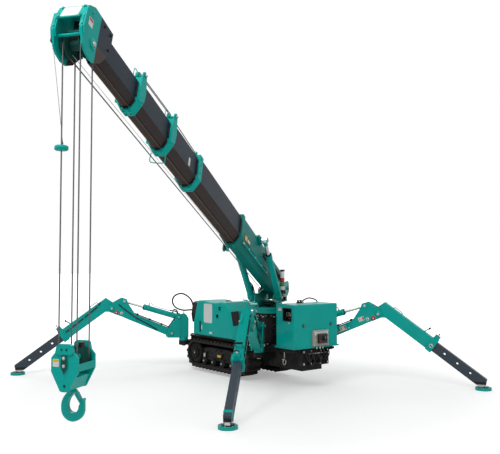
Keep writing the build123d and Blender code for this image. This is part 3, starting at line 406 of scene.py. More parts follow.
# ---------------------------------------------------------------- mesh building
class Shape:
    """One piece under construction, made of closed forms that may each have their own finish."""

    def __init__(self, name):
        self.name, self.mesh, self.finishes, self.now = name, bmesh.new(), [], 0

    def use(self, finish):
        if finish not in self.finishes:
            self.finishes.append(finish)
        self.now = self.finishes.index(finish)
        return self

    def _face(self, corners, smooth=False):
        face = self.mesh.faces.new(corners)
        face.material_index, face.smooth = self.now, smooth
        return face

    def plate(self, place, outline, low, high, ease=0.0):
        """An extruded outline between two depths, its rims eased by a small chamfer."""
        cx = sum(p[0] for p in outline) / len(outline)
        cy = sum(p[1] for p in outline) / len(outline)
        reach = max(math.dist(p, (cx, cy)) for p in outline)
        small = 1 - ease / reach
        levels = [(low, small), (low + ease, 1.0), (high - ease, 1.0),
            (high, small)] if ease else [(low, 1), (high, 1)]
        loops = [[self.mesh.verts.new(place.at(cx + (x - cx) * k, cy + (y - cy) * k, z))
            for x, y in outline] for z, k in levels]
        count = len(outline)
        for a, b in zip(loops, loops[1:]):
            for i in range(count):
                self._face((a[i], a[(i + 1) % count], b[(i + 1) % count], b[i]))
        self._face(loops[0][::-1])
        self._face(loops[-1])
        return self

    def box(self, place, x, y, z, ease=0.0):
        """A block between limits on the place's axes, each limit pair low then high."""
        outline = [(x[0], y[0]), (x[1], y[0]), (x[1], y[1]), (x[0], y[1])]
        return self.plate(place, outline, z[0], z[1], ease)

    def lathe(self, origin, along, profile, sides=24):
        """A turned form: (radius, distance) pairs about a line."""
        along = Vector(along).normalized()
        side = along.orthogonal().normalized()
        other = along.cross(side)
        loops = []
        for radius, distance in profile:
            centre = Vector(origin) + along * distance
            if radius < 1e-6:
                loops.append([self.mesh.verts.new(centre)])
                continue
            loops.append([self.mesh.verts.new(centre + (side * math.cos(a) + other * math.sin(a)) * radius)
                for a in (2 * math.pi * i / sides for i in range(sides))])
        for a, b in zip(loops, loops[1:]):
            for i in range(sides):
                j = (i + 1) % sides
                if len(a) > 1 and len(b) > 1:
                    corners = [a[i], a[j], b[j], b[i]]
                else:
                    corners = [a[0], b[j], b[i]] if len(a) == 1 else [a[i], a[j], b[0]]
                self._face(corners, sides > 8)
        for loop, turn in ((loops[0], -1), (loops[-1], 1)):
            if len(loop) > 1:
                self._face(loop[::turn])
        return self

    def run(self, place, points, radius, sides=10, steps=8):
        """A hose through points given along the axes of a place."""
        return self.hose([place.at(*p) for p in points], radius, sides, steps)

    def hose(self, points, radius, sides=10, steps=8):
        """A round hose or bar along a smooth line through the points."""
        line = smooth_line(points, steps) if steps > 1 else points
        tangent = (line[1] - line[0]).normalized()
        side = tangent.orthogonal().normalized()
        loops = []
        for i, p in enumerate(line):
            ahead = line[min(i + 1, len(line) - 1)] - line[max(i - 1, 0)]
            turn = tangent.rotation_difference(ahead.normalized())
            tangent, side = ahead.normalized(), (turn @ side).normalized()
            other = tangent.cross(side)
            loops.append([self.mesh.verts.new(p + (side * math.cos(a) + other * math.sin(a)) * radius)
                for a in (2 * math.pi * k / sides for k in range(sides))])
        for a, b in zip(loops, loops[1:]):
            for k in range(sides):
                self._face((a[k], a[(k + 1) % sides], b[(k + 1) % sides], b[k]), True)
        self._face(loops[0][::-1])
        self._face(loops[-1])
        return self

    def bolt(self, origin, along, radius):
        """Washer, hexagon head and its domed top."""
        self.lathe(origin, along, [(radius * 1.25, -0.001), (radius * 1.25, radius * 0.25)], 14)
        self.lathe(origin, along, [(radius, 0), (radius, radius * 0.8), (radius * 0.8, radius * 0.95)], 6)
        return self

    def made(self):
        """The finished piece, normals outward."""
        bmesh.ops.remove_doubles(self.mesh, verts=self.mesh.verts, dist=1e-6)
        bmesh.ops.recalc_face_normals(self.mesh, faces=self.mesh.faces)
        data = bpy.data.meshes.new(self.name)
        self.mesh.to_mesh(data)
        self.mesh.free()
        for finish in self.finishes:
            data.materials.append(MATERIALS[finish])
        piece = bpy.data.objects.new(self.name, data)
        bpy.context.scene.collection.objects.link(piece)
        return piece

    def done(self, body):
        """The finished piece riding on its body."""
        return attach(self.made(), body)


def disc(radius, low, high):
    """Profile of a plain disc or pin, for lathe."""
    return [(0.0, low), (radius, low), (radius, high), (0.0, high)]


def cap(radius, low, high, crown, top):
    """Profile of a cap whose rim slopes in to a flat crown, for lathe."""
    return [(radius, low), (radius, high), (crown, top), (0.0, top)]


def smooth_line(points, steps):
    """A smooth line through the points, as even spans of a cardinal curve."""
    ends = [points[0] * 2 - points[1], *points, points[-1] * 2 - points[-2]]
    line = []
    for p0, p1, p2, p3 in zip(ends, ends[1:], ends[2:], ends[3:]):
        for i in range(steps):
            t = i / steps
            line.append(0.5 * (2 * p1 + (p2 - p0) * t + (2 * p0 - 5 * p1 + 4 * p2 - p3) * t ** 2
                + (3 * p1 - p0 - 3 * p2 + p3) * t ** 3))
    return line + [points[-1]]


def rounded(x0, x1, y0, y1, r, steps=5):
    """A rectangle with round corners."""
    outline = []
    for cx, cy, start in ((x1 - r, y0 + r, -90), (x1 - r, y1 - r, 0),
            (x0 + r, y1 - r, 90), (x0 + r, y0 + r, 180)):
        for i in range(steps + 1):
            a = math.radians(start + 90 * i / steps)
            outline.append((cx + r * math.cos(a), cy + r * math.sin(a)))
    return outline


# ---------------------------------------------------------------- repeated fasteners, by Geometry Nodes
HALF_HEXAGON = 0.577           # radius at a hexagon's corners by its width across flats


def bolt_tree(finish):
    """Bolt heads on the points of a mesh, standing along each point's facing."""
    tree = bpy.data.node_groups.new("bolt heads", "GeometryNodeTree")
    face = tree.interface
    face.new_socket("Points", in_out="INPUT", socket_type="NodeSocketGeometry")
    for label, default in (("Across flats", 0.018), ("Height", 0.009)):
        face.new_socket(label, in_out="INPUT", socket_type="NodeSocketFloat").default_value = default
    face.new_socket("Heads", in_out="OUTPUT", socket_type="NodeSocketGeometry")

    def add(kind, **inputs):
        """A node whose named inputs take a value or the output of another node."""
        node = tree.nodes.new(kind)
        for key, value in inputs.items():
            socket = node.inputs[key.replace("_", " ")]
            if isinstance(value, bpy.types.NodeSocket):
                tree.links.new(value, socket)
            else:
                socket.default_value = value
        return node

    def times(socket, factor):
        made = add("ShaderNodeMath")
        made.operation = "MULTIPLY"
        made.inputs[1].default_value = factor
        tree.links.new(socket, made.inputs[0])
        return made.outputs[0]

    given, end = add("NodeGroupInput"), add("NodeGroupOutput")
    radius, height = times(given.outputs["Across flats"], HALF_HEXAGON), given.outputs["Height"]
    head = add("GeometryNodeMeshCone", Vertices=6, Radius_Bottom=radius,
        Radius_Top=times(radius, 0.86), Depth=height)
    washer = add("GeometryNodeMeshCylinder", Vertices=14, Radius=times(radius, 1.35),
        Depth=times(height, 0.3))
    both = add("GeometryNodeJoinGeometry")
    for part in (head, washer):
        tree.links.new(part.outputs["Mesh"], both.inputs[0])
    facing = add("GeometryNodeInputNamedAttribute", Name="facing")
    facing.data_type = "FLOAT_VECTOR"
    align = add("FunctionNodeAlignRotationToVector", Vector=facing.outputs["Attribute"])
    align.axis = "Z"
    stand = add("GeometryNodeInstanceOnPoints", Points=given.outputs["Points"],
        Instance=both.outputs[0], Rotation=align.outputs[0])
    real = add("GeometryNodeRealizeInstances", Geometry=stand.outputs[0])
    paint = add("GeometryNodeSetMaterial", Geometry=real.outputs[0], Material=finish)
    tree.links.new(paint.outputs[0], end.inputs[0])
    return tree


def instanced(name, body, tree, points, facings, values):
    """Points run through a tree of nodes, kept as a plain mesh on one body."""
    data = bpy.data.meshes.new(name)
    data.from_pydata([tuple(p) for p in points], [], [])
    facing = data.attributes.new("facing", "FLOAT_VECTOR", "POINT")
    for i, way in enumerate(facings):
        facing.data[i].vector = tuple(way)
    host = bpy.data.objects.new(name, data)
    bpy.context.scene.collection.objects.link(host)
    modifier = host.modifiers.new("repeat", "NODES")
    modifier.node_group = tree
    for item in tree.interface.items_tree:
        if item.in_out == "INPUT" and item.name in values:
            modifier[item.identifier] = values[item.name]
    bpy.context.view_layer.update()
    plain = bpy.data.meshes.new_from_object(host.evaluated_get(bpy.context.evaluated_depsgraph_get()))
    host.modifiers.clear()
    host.data = plain
    plain.name = name
    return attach(host, body)


def bolts(name, body, spots, across_flats, height, finish):
    """Bolt heads at (point, facing) pairs."""
    return instanced(name, body, TREES[finish], [p for p, _ in spots],
        [f for _, f in spots], {"Across flats": across_flats, "Height": height})


def ring(place, radius, count, start=0.0):
    """Points set out on a circle round a place's own z."""
    turns = [2 * math.pi * (k + start) / count for k in range(count)]
    return [place.at(radius * math.cos(a), radius * math.sin(a)) for a in turns]


def facing(origin, outward, up=UP):
    """A frame on a surface: its z leaves the surface, its y keeps to the given upward direction."""
    return Place(origin, Vector(up).cross(Vector(outward)), up)


def taut(name, body_a, body_b, start, end, radius, finish="wire"):
    """A straight line between two points, riding on the body when both ends share one, else left on its own
    in the world.
    """
    piece = Shape(name).use(finish).hose([start, end], radius, 8, 1)
    if body_a == body_b:
        return piece.done(body_a)
    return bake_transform(piece.made())


def blank_plate(name, body, place, wide, tall, finish="plate", stripe=None):
    """A thin blank plate centred on a surface frame, with a coloured stripe along its top if asked."""
    piece = Shape(name).use(finish).plate(place, rounded(-wide / 2, wide / 2,
        -tall / 2, tall / 2, min(wide, tall) * 0.12), 0.0002, sizes().plate_thick)
    if stripe:
        piece.use(stripe).plate(place, rounded(-wide * 0.44, wide * 0.44, tall * 0.16,
            tall * 0.42, tall * 0.08), sizes().plate_thick, sizes().plate_thick * 1.4)
    return piece.done(body)


def fitting(shape, spot, way, radius=0.012):
    """A hydraulic fitting: hexagon, neck and swaged sleeve."""
    shape.use("zinc").lathe(spot, way, [(radius, -0.004), (radius, radius)], 6)
    shape.lathe(spot, way, [(radius * 0.7, radius * 0.9), (radius * 0.7, radius * 2.0),
        (radius * 0.9, radius * 2.1), (radius * 0.9, radius * 3.6), (radius * 0.6, radius * 3.8)], 12)


def pin_cap(shape, spot, way, radius, finish="teal"):
    """Retaining washer and bolt head on the end of a pin."""
    shape.use(finish).lathe(spot, way, [(0.0, -0.001), (radius, -0.001), (radius, 0.004),
        (radius - 0.003, 0.006), (0.0, 0.006)], 24)
    shape.use("zinc").bolt(Vector(spot) + Vector(way) * 0.006, way, radius * 0.42)


# in the slewing post's plane, ahead of the slewing axis and above the ground
DRUM = (-0.500, 1.050)
RAM_FOOT, RAM_EYE, RAM_SIDE, RAM_LONG = (0.250, 0.970), (0.940, 1.609), 0.164, 0.720


ROPE_ACROSS = 0.045                                    # of the hoist rope from the boom's middle plane


def hoist_line(x):
    """Height of the hoist rope under the boom at a distance along it."""
    return -SHEAVE_BELOW - SHEAVE_R - (SHEAVE_ALONG - x) * 0.0032


def on_rope(x, rise=0.0, across=ROPE_ACROSS):
    """A point of the hoist rope's line, or close beside it."""
    return BOOM.at(x, hoist_line(x) + rise, across)


def folded(wide, tall):
    """Outline of a boom section: flat top, upright sides, folded belly."""
    w, h = wide / 2, tall / 2
    return [(-w, h), (-w, -h + 0.3 * tall), (-0.42 * w, -h), (0.42 * w, -h), (w, -h + 0.3 * tall), (w, h)]


# ---------------------------------------------------------------- boom
def make_boom_fittings():
    for i in range(4):
        body, mouth = f"boom_{i + 1}", SECTION_FRONT[i]
        # wear pads ahead of the collar, close round the next section
        across = Place(BOOM.at(mouth), -BOOM.z, BOOM.y)
        outline = [Vector(p) for p in folded(SECTION_WIDE[i + 1], SECTION_TALL[i + 1])]
        pads = Shape(f"wear_pads_{i + 1}").use("hose")
        for p, q in zip(outline, outline[1:] + outline[:1]):
            run = (q - p).normalized()
            out = Vector((run.y, -run.x))
            out = out if out.dot((p + q) / 2) > 0 else -out
            a, b = p.lerp(q, 0.12), p.lerp(q, 0.88)
            pads.plate(across, [a + out * 0.0016, b + out * 0.0016, b + out * 0.012,
                a + out * 0.012], 0.0005, 0.011, 0.001)
        pads.done(body)
        half, crown = SECTION_WIDE[i] / 2 + COLLAR, SECTION_TALL[i] / 2 + COLLAR
        spots = [(BOOM.at(mouth - 0.037, y, z * half), BOOM.z * z) for z in (-1, 1)
            for y in (0.0, crown * 0.45, crown * 0.85)]
        spots += [(BOOM.at(mouth - along, -crown, z * half * 0.26), -BOOM.y)
            for along in (0.018, 0.056) for z in (-1, 1)]
        bolts(f"collar_bolts_{i + 1}", body, spots, sizes().bolt * 0.85, 0.006, "teal")
    side = facing(BOOM.at(1.740, -0.022, -SECTION_WIDE[0] / 2), -BOOM.z, BOOM.y)
    blank_plate("base_plate_black", "boom_1", side, 0.230, 0.064, "black")
    blank_plate("base_plate_yellow", "boom_1", side.moved(-0.055, 0, 0.001), 0.080, 0.050, "yellow")
    blank_plate("base_plate_white", "boom_1", side.moved(0.052, 0, 0.001), 0.096, 0.032)
    blank_plate("section_plate", "boom_3",
        facing(BOOM.at(3.465, 0.001, -SECTION_WIDE[2] / 2), -BOOM.z, BOOM.y), 0.034, 0.066)
    # wire loop that keeps the hoist rope close under the third section's collar
    mouth, low = SECTION_FRONT[2] - 0.02, -SECTION_TALL[2] / 2 - COLLAR
    Shape("rope_guide_loop").use("teal").run(BOOM, [
        (mouth, low + 0.004, 0.052), (mouth, low - 0.052, 0.056), (mouth - 0.01, low - 0.068, 0.040),
        (mouth - 0.02, low - 0.070, -0.040), (mouth - 0.01, low - 0.054, -0.056),
        (mouth, low + 0.004, -0.052)], 0.0035, 8, 6).done("boom_3")
    for i in (2, 3):
        mouth, top = SECTION_FRONT[i], SECTION_TALL[i] / 2 + COLLAR + 0.032
        caps = Shape(f"guide_pin_caps_{i + 1}")
        for z in (-1, 1):
            spot = BOOM.at(mouth - 0.040, top, z * (SECTION_WIDE[i] / 2 + COLLAR + 0.012))
            pin_cap(caps, spot, BOOM.z * z, 0.011, "zinc")
        # hoop over the guide pulley
        z = 0.016 - 0.25 * SECTION_WIDE[i]
        hoop = ((0.085, -0.020), (0.082, 0.030), (0.050, 0.043), (0.004, 0.040), (0.002, -0.030))
        caps.use("teal").run(BOOM, [(mouth - back, top + up, z) for back, up in hoop], 0.0028, 8, 6)
        caps.done(f"boom_{i + 1}")
    # guide pulley in its bracket under the base's mouth
    mouth, low = SECTION_FRONT[0], -SECTION_TALL[0] / 2 - COLLAR
    centre = BOOM.at(mouth - 0.024, hoist_line(mouth) - 0.023, ROPE_ACROSS)
    pulley = Shape("base_guide_pulley").use("teal")
    for z in (0.022, 0.060):
        pulley.plate(BOOM, [(mouth - 0.075, low + 0.004), (mouth - 0.060, low - 0.052),
            (mouth - 0.020, low - 0.062), (mouth + 0.004, low - 0.044),
            (mouth - 0.002, low + 0.004)], z, z + 0.008, 0.001)
    pulley.use("sheave").lathe(centre - BOOM.z * 0.013, BOOM.z, [
        (0.0, 0.0), (0.025, 0.0), (0.025, 0.004), (0.018, 0.011), (0.018, 0.015),
        (0.025, 0.022), (0.025, 0.026), (0.0, 0.026)], 24)
    pulley.use("zinc").lathe(centre - BOOM.z * 0.030, BOOM.z, disc(0.008, 0.0, 0.060), 12)
    pulley.done("boom_1")
    # pressure hoses clipped along the base's sides behind the rams
    for out in (-1, 1):
        lines = Shape(f"base_hoses_{'left' if out < 0 else 'right'}")
        for y in (0.040, 0.066):
            lines.use("hose").run(BOOM, [(0.14, y, out * 0.1005), (0.18, y, out * 0.108),
                (0.60, y + 0.006, out * 0.108), (1.02, y, out * 0.108),
                (1.06, y, out * 0.1005)], 0.0072, 10, 5)
        for x in (0.24, 0.60, 0.96):
            lines.use("black").box(BOOM, (x - 0.012, x + 0.012), (0.026, 0.084),
                sorted((out * 0.1003, out * 0.1165)), 0.002)
        lines.done("boom_1")
    # oil pipe clipped along the base's folded side
    pipe, y, z = Shape("base_pipe").use("teal"), -0.098, -0.103
    pipe.run(BOOM, [(1.86, y, z), (1.2, y, z), (0.80, y, z)], 0.007, 10, 1)
    fitting(pipe, BOOM.at(1.855, y, z), BOOM.x, 0.010)
    pipe.done("boom_1")
    clips = [(BOOM.at(x, y + 0.013, -0.1005), -BOOM.z) for x in (0.86, 1.12, 1.38, 1.65)]
    bolts("pipe_clips", "boom_1", clips, sizes().bolt * 0.8, 0.006, "zinc")


def make_boom_ropes():
    stops = [SECTION_FRONT[0] - 0.024, *SECTION_FRONT[1:4], SHEAVE_ALONG]
    bodies = [f"boom_{i}" for i in range(1, 6)]
    r = sizes().rope / 2
    for i in range(4):
        a, b = stops[i], stops[i + 1]
        taut(f"hoist_rope_{i + 1}", bodies[i], bodies[i + 1], on_rope(a), on_rope(b), r)
        taut(f"signal_cable_{i + 1}", bodies[i], bodies[i + 1], on_rope(a, 0.006, 0.020),
             on_rope(b, 0.006, 0.020), r * 0.4, "zinc")
    taut("hoist_rope_base", "boom_1", "boom_1", on_rope(0.30), on_rope(stops[0]), r)
    top = SECTION_TALL[3] / 2 + COLLAR + 0.062
    for which, side in (("a", -0.005), ("b", 0.005)):
        taut(f"stage_rope_outer_{which}", "boom_3", "boom_4",
            BOOM.at(SECTION_FRONT[2] - 0.04, top + 0.012, -0.038 + side),
            BOOM.at(SECTION_FRONT[3] - 0.04, top, -0.033 + side), r * 0.8)
    taut("stage_rope_inner", "boom_2", "boom_3", BOOM.at(SECTION_FRONT[1] - 0.03, 0.178, -0.038),
         BOOM.at(SECTION_FRONT[2] - 0.04, 0.191, -0.038), r * 0.9)
    anchor = Shape("rope_anchor").use("zinc").lathe(BOOM.at(SECTION_FRONT[1] - 0.060, 0.1775, -0.038),
        BOOM.x, [(0.0, 0.0), (0.006, 0.0), (0.006, 0.02), (0.009, 0.022), (0.009, 0.040), (0.0, 0.040)], 12)
    anchor.use("teal").box(BOOM, (SECTION_FRONT[1] - 0.050, SECTION_FRONT[1] - 0.036),
        (0.1555, 0.191), (-0.052, -0.024), 0.001)
    anchor.done("boom_2")


HEAD_HALF = 0.090                                      # the head's cheeks from the boom's middle plane


def make_head():
    up = (BOOM.at(5.190, 0.092) - BOOM.at(5.224, 0.0)).normalized()
    front = Place(BOOM.at(5.190, 0.092), -BOOM.z, up)
    blank_plate("head_front_plate", "boom_5", front.moved(-0.004, -0.047), 0.108, 0.084)
    spots = [(front.at(x, y), front.z) for x in (-0.066, 0.066) for y in (-0.008, -0.088)]
    spots += [(BOOM.at(x, y, z * HEAD_HALF), BOOM.z * z) for z in (-1, 1)
        for x, y in ((4.925, 0.085), (4.925, -0.015), (5.0, 0.09), (5.14, 0.075))]
    spots += [(BOOM.at(x, y, z * 0.085), BOOM.x) for x, y in ((5.2195, -0.045), (5.2135, 0.012))
        for z in (-1, 1)]
    for finish, rear in (("teal", False), ("black", True)):
        chosen = [(p, way) for p, way in spots if ((p - BOOM.o).dot(BOOM.x) <= HEAD_LAP) == rear]
        bolts(f"head_bolts_{finish}", "boom_5", chosen, sizes().bolt * 0.85, 0.007, finish)
    caps = Shape("sheave_pin_caps")
    for z in (-1, 1):
        spot = BOOM.at(SHEAVE_ALONG, -SHEAVE_BELOW, z * HEAD_HALF)
        caps.use("teal").lathe(spot, BOOM.z * z, [
            (0.034, 0.0), (0.034, 0.004), (0.026, 0.007), (0.0175, 0.007)], 28)
        pin_cap(caps, BOOM.at(SHEAVE_ALONG, -SHEAVE_BELOW, z * 0.0962), BOOM.z * z, 0.014, "zinc")
    caps.done("boom_5")
    cheek = facing(BOOM.at(5.148, 0.008, -HEAD_HALF), -BOOM.z, BOOM.y)
    blank_plate("cheek_plate", "boom_5", cheek, 0.046, 0.050, "plate", "red")
    # overwind switch outside the right cheek, its ring, and the plate that holds it
    box = Shape("limit_switch").use("black").plate(BOOM,
        rounded(5.122, 5.176, -0.112, -0.040, 0.008), 0.0905, 0.120, 0.003)
    box.use("teal").plate(BOOM, rounded(5.110, 5.188, -0.046, -0.028, 0.005), 0.0902, 0.118, 0.001)
    eye = BOOM.at(5.150, -0.130, 0.106)
    box.use("zinc").hose([BOOM.at(5.150, -0.108, 0.106), BOOM.at(5.150, -0.119, 0.106), eye], 0.003, 8, 2)
    loop = ring(Place(eye - UP * 0.010, BOOM.x, UP), 0.010, 14)
    box.hose([*loop, loop[0]], 0.002, 6, 1)
    box.done("boom_5")
    # spacer on the head's pin, between the sheaves
    spacer = Shape("head_spacer").use("sheave").lathe(BOOM.at(SHEAVE_ALONG, -SHEAVE_BELOW, -0.039),
        BOOM.z, [(0.024, 0.0), (0.028, 0.004), (0.028, 0.074), (0.024, 0.078)], 22)
    spacer.done("boom_5")
    # weight of the overwind switch round one fall, and the wire that carries it
    spot = HOOK.at(SHEAVE_R, sizes().weight_height, 0.053)
    weight = Shape("switch_weight").use("teal").lathe(spot, UP, [
        (0.0045, -0.014), (0.030, -0.014), (0.037, -0.009), (0.037, 0.009),
        (0.030, 0.014), (0.0045, 0.014)], 36)
    weight.use("black").hose([spot + Vector((0, 0, 0.012)) - AHEAD * 0.012,
        spot + UP * 0.034 - AHEAD * 0.012], 0.003, 8, 1)
    weight.done("falls")
    taut("switch_wire", "boom_5", "falls", eye - UP * 0.020, spot + UP * 0.032 - AHEAD * 0.012, 0.0014)


# heights of the block's middle and of the hook's lowest point
BLOCK_MIDDLE, HOOK_POINT = 0.881, 0.548


def make_block():
    middle = BLOCK_MIDDLE
    for sign, which in ((1, "front"), (-1, "back")):
        side = facing(HOOK.o + AHEAD * (0.096 * sign), AHEAD * sign)
        strip = Shape(f"block_fittings_{which}").use("sheave").plate(side, [
            (-0.019, middle - 0.030), (0.0, middle - 0.070), (0.019, middle - 0.030),
            (0.013, middle + 0.024), (-0.013, middle + 0.024)], 0.0062, 0.0095, 0.001)
        for y in (middle + 0.012, middle - 0.028):
            strip.use("zinc").bolt(side.at(0, y, 0.0095), side.z, 0.0075)
        strip.use("sheave").bolt(side.at(0, middle - 0.132, 0), side.z, 0.006)
        for x in (-0.014, 0.014):
            strip.bolt(side.at(x, middle + 0.056, 0.008), side.z, 0.005)
        strip.done("block")
        blank_plate(f"block_plate_{which}", "block",
            side.moved(-0.050, middle - 0.014), 0.036, 0.040, "plate", "yellow")
    Shape("block_latch").use("black").box(HOOK, (0.02, 0.055), (0.945, 0.972),
        (-0.074, -0.055), 0.003).done("block")
    face, low = facing(HOOK.o, AHEAD), HOOK_POINT
    latch = Shape("hook_latch").use("teal").plate(face, [
        (0.010, low + 0.150), (0.046, low + 0.098), (0.055, low + 0.102),
        (0.024, low + 0.156)], -0.0165, -0.0155 + 0.032, 0.001)
    latch.use("zinc").lathe(face.at(0.016, low + 0.150, -0.020), face.z, disc(0.005, 0, 0.040), 10)
    latch.use("teal").lathe(HOOK.o + UP * (low + 0.147), UP, [
        (0.0145, 0.0), (0.021, 0.0), (0.024, 0.006), (0.024, 0.014), (0.019, 0.020), (0.0145, 0.020)], 26)
    latch.done("hook")


# ---------------------------------------------------------------- derrick rams, slewing post
def gland(shape, spot, way, rod, radius, sides):
    """Black end ring of a barrel, close round its rod."""
    shape.use("black").lathe(spot, way, [
        (rod, 0.0), (radius, 0.0), (radius, 0.006), (radius - 0.006, 0.010), (rod, 0.010)], sides)


def port(shape, ram, x, radius, shoulder, tall, size, sides):
    """Teal boss on top of a barrel with a hydraulic fitting on it."""
    shape.use("teal").lathe(ram.at(x, 0.030), ram.y,
        cap(radius, 0.0, shoulder, radius - 0.003, tall), sides)
    fitting(shape, ram.at(x, 0.030 + tall), ram.y, size)


def make_derrick():
    angle = math.atan2(RAM_EYE[1] - RAM_FOOT[1], RAM_EYE[0] - RAM_FOOT[0])
    low, high = Shape("ram_barrel_fittings"), Shape("ram_eye_caps")
    hose = sizes().hose / 2
    for out in (-1, 1):
        ram = POST.moved(*RAM_FOOT, out * RAM_SIDE).turned(angle)
        gland(low, ram.at(RAM_LONG), ram.x, 0.0225, 0.033, 28)
        for x in (0.10, RAM_LONG - 0.075):
            port(low, ram, x, 0.016, 0.012, 0.016, 0.010, 16)
        # steel pipe from the far port down to the foot, with its clips
        low.use("zinc").run(ram, [(RAM_LONG - 0.075, 0.080), (RAM_LONG - 0.095, 0.086),
            (RAM_LONG - 0.13, 0.060), (RAM_LONG - 0.20, 0.052), (0.30, 0.052),
            (0.22, 0.056, -out * 0.012), (0.17, 0.060, -out * 0.022)], 0.005, 10, 6)
        low.use("hose").run(ram, [(0.18, 0.059, -out * 0.020), (0.12, 0.064, -out * 0.030),
            (0.05, 0.058, -out * 0.032), (0.0, 0.044, -out * 0.030)], hose, 10, 8)
        low.run(ram, [(0.10, 0.080), (0.085, 0.096), (0.04, 0.086, -out * 0.006),
            (-0.005, 0.052, -out * 0.010)], hose, 10, 8)
        for x in (0.34, 0.52):
            low.use("teal").box(ram, (x - 0.010, x + 0.010), (0.034, 0.061), (-0.012, 0.012), 0.002)
            low.use("zinc").bolt(ram.at(x, 0.061), ram.y, 0.006)
        low.use("teal").lathe(ram.at(0.035), ram.x, [
            (0.0365, 0.0), (0.041, 0.004), (0.041, 0.016), (0.0365, 0.020)], 28)
        # fin that guards the pipe near the foot
        low.use("teal").plate(ram, [(0.14, 0.030), (0.235, 0.030), (0.205, 0.070),
            (0.185, 0.074)], out * 0.020 - 0.003, out * 0.020 + 0.003, 0.001)
        pin_cap(high, POST.at(*RAM_EYE, out * (RAM_SIDE + 0.026)), POST.z * out, 0.027)
        high.use("teal").lathe(POST.at(*RAM_EYE, out * RAM_SIDE), ram.x * -1, [
            (0.030, 0.024), (0.0235, 0.058), (0.0235, 0.070), (0.0215, 0.072)], 24)
        grease = POST.at(*RAM_EYE, out * RAM_SIDE) + ram.y * 0.033
        high.use("zinc").lathe(grease, ram.y, [
            (0.005, 0.0), (0.005, 0.006), (0.003, 0.008), (0.003, 0.012), (0.0, 0.013)], 8)
    low.done("ram_barrels")
    high.done("ram_rods")
    # bolts of the caps over the rams' eyes
    crown = SECTION_TALL[0] / 2 + 0.0285
    eye = POST.at(*RAM_EYE) - BOOM.o
    spots = [(BOOM.at(eye.dot(BOOM.x) + along, crown, z), BOOM.y)
        for along in (-0.045, 0.045) for z in (-0.105, -0.05, 0.05, 0.105)]
    bolts("eye_cap_bolts", "boom_1", spots, sizes().bolt, 0.009, "teal")


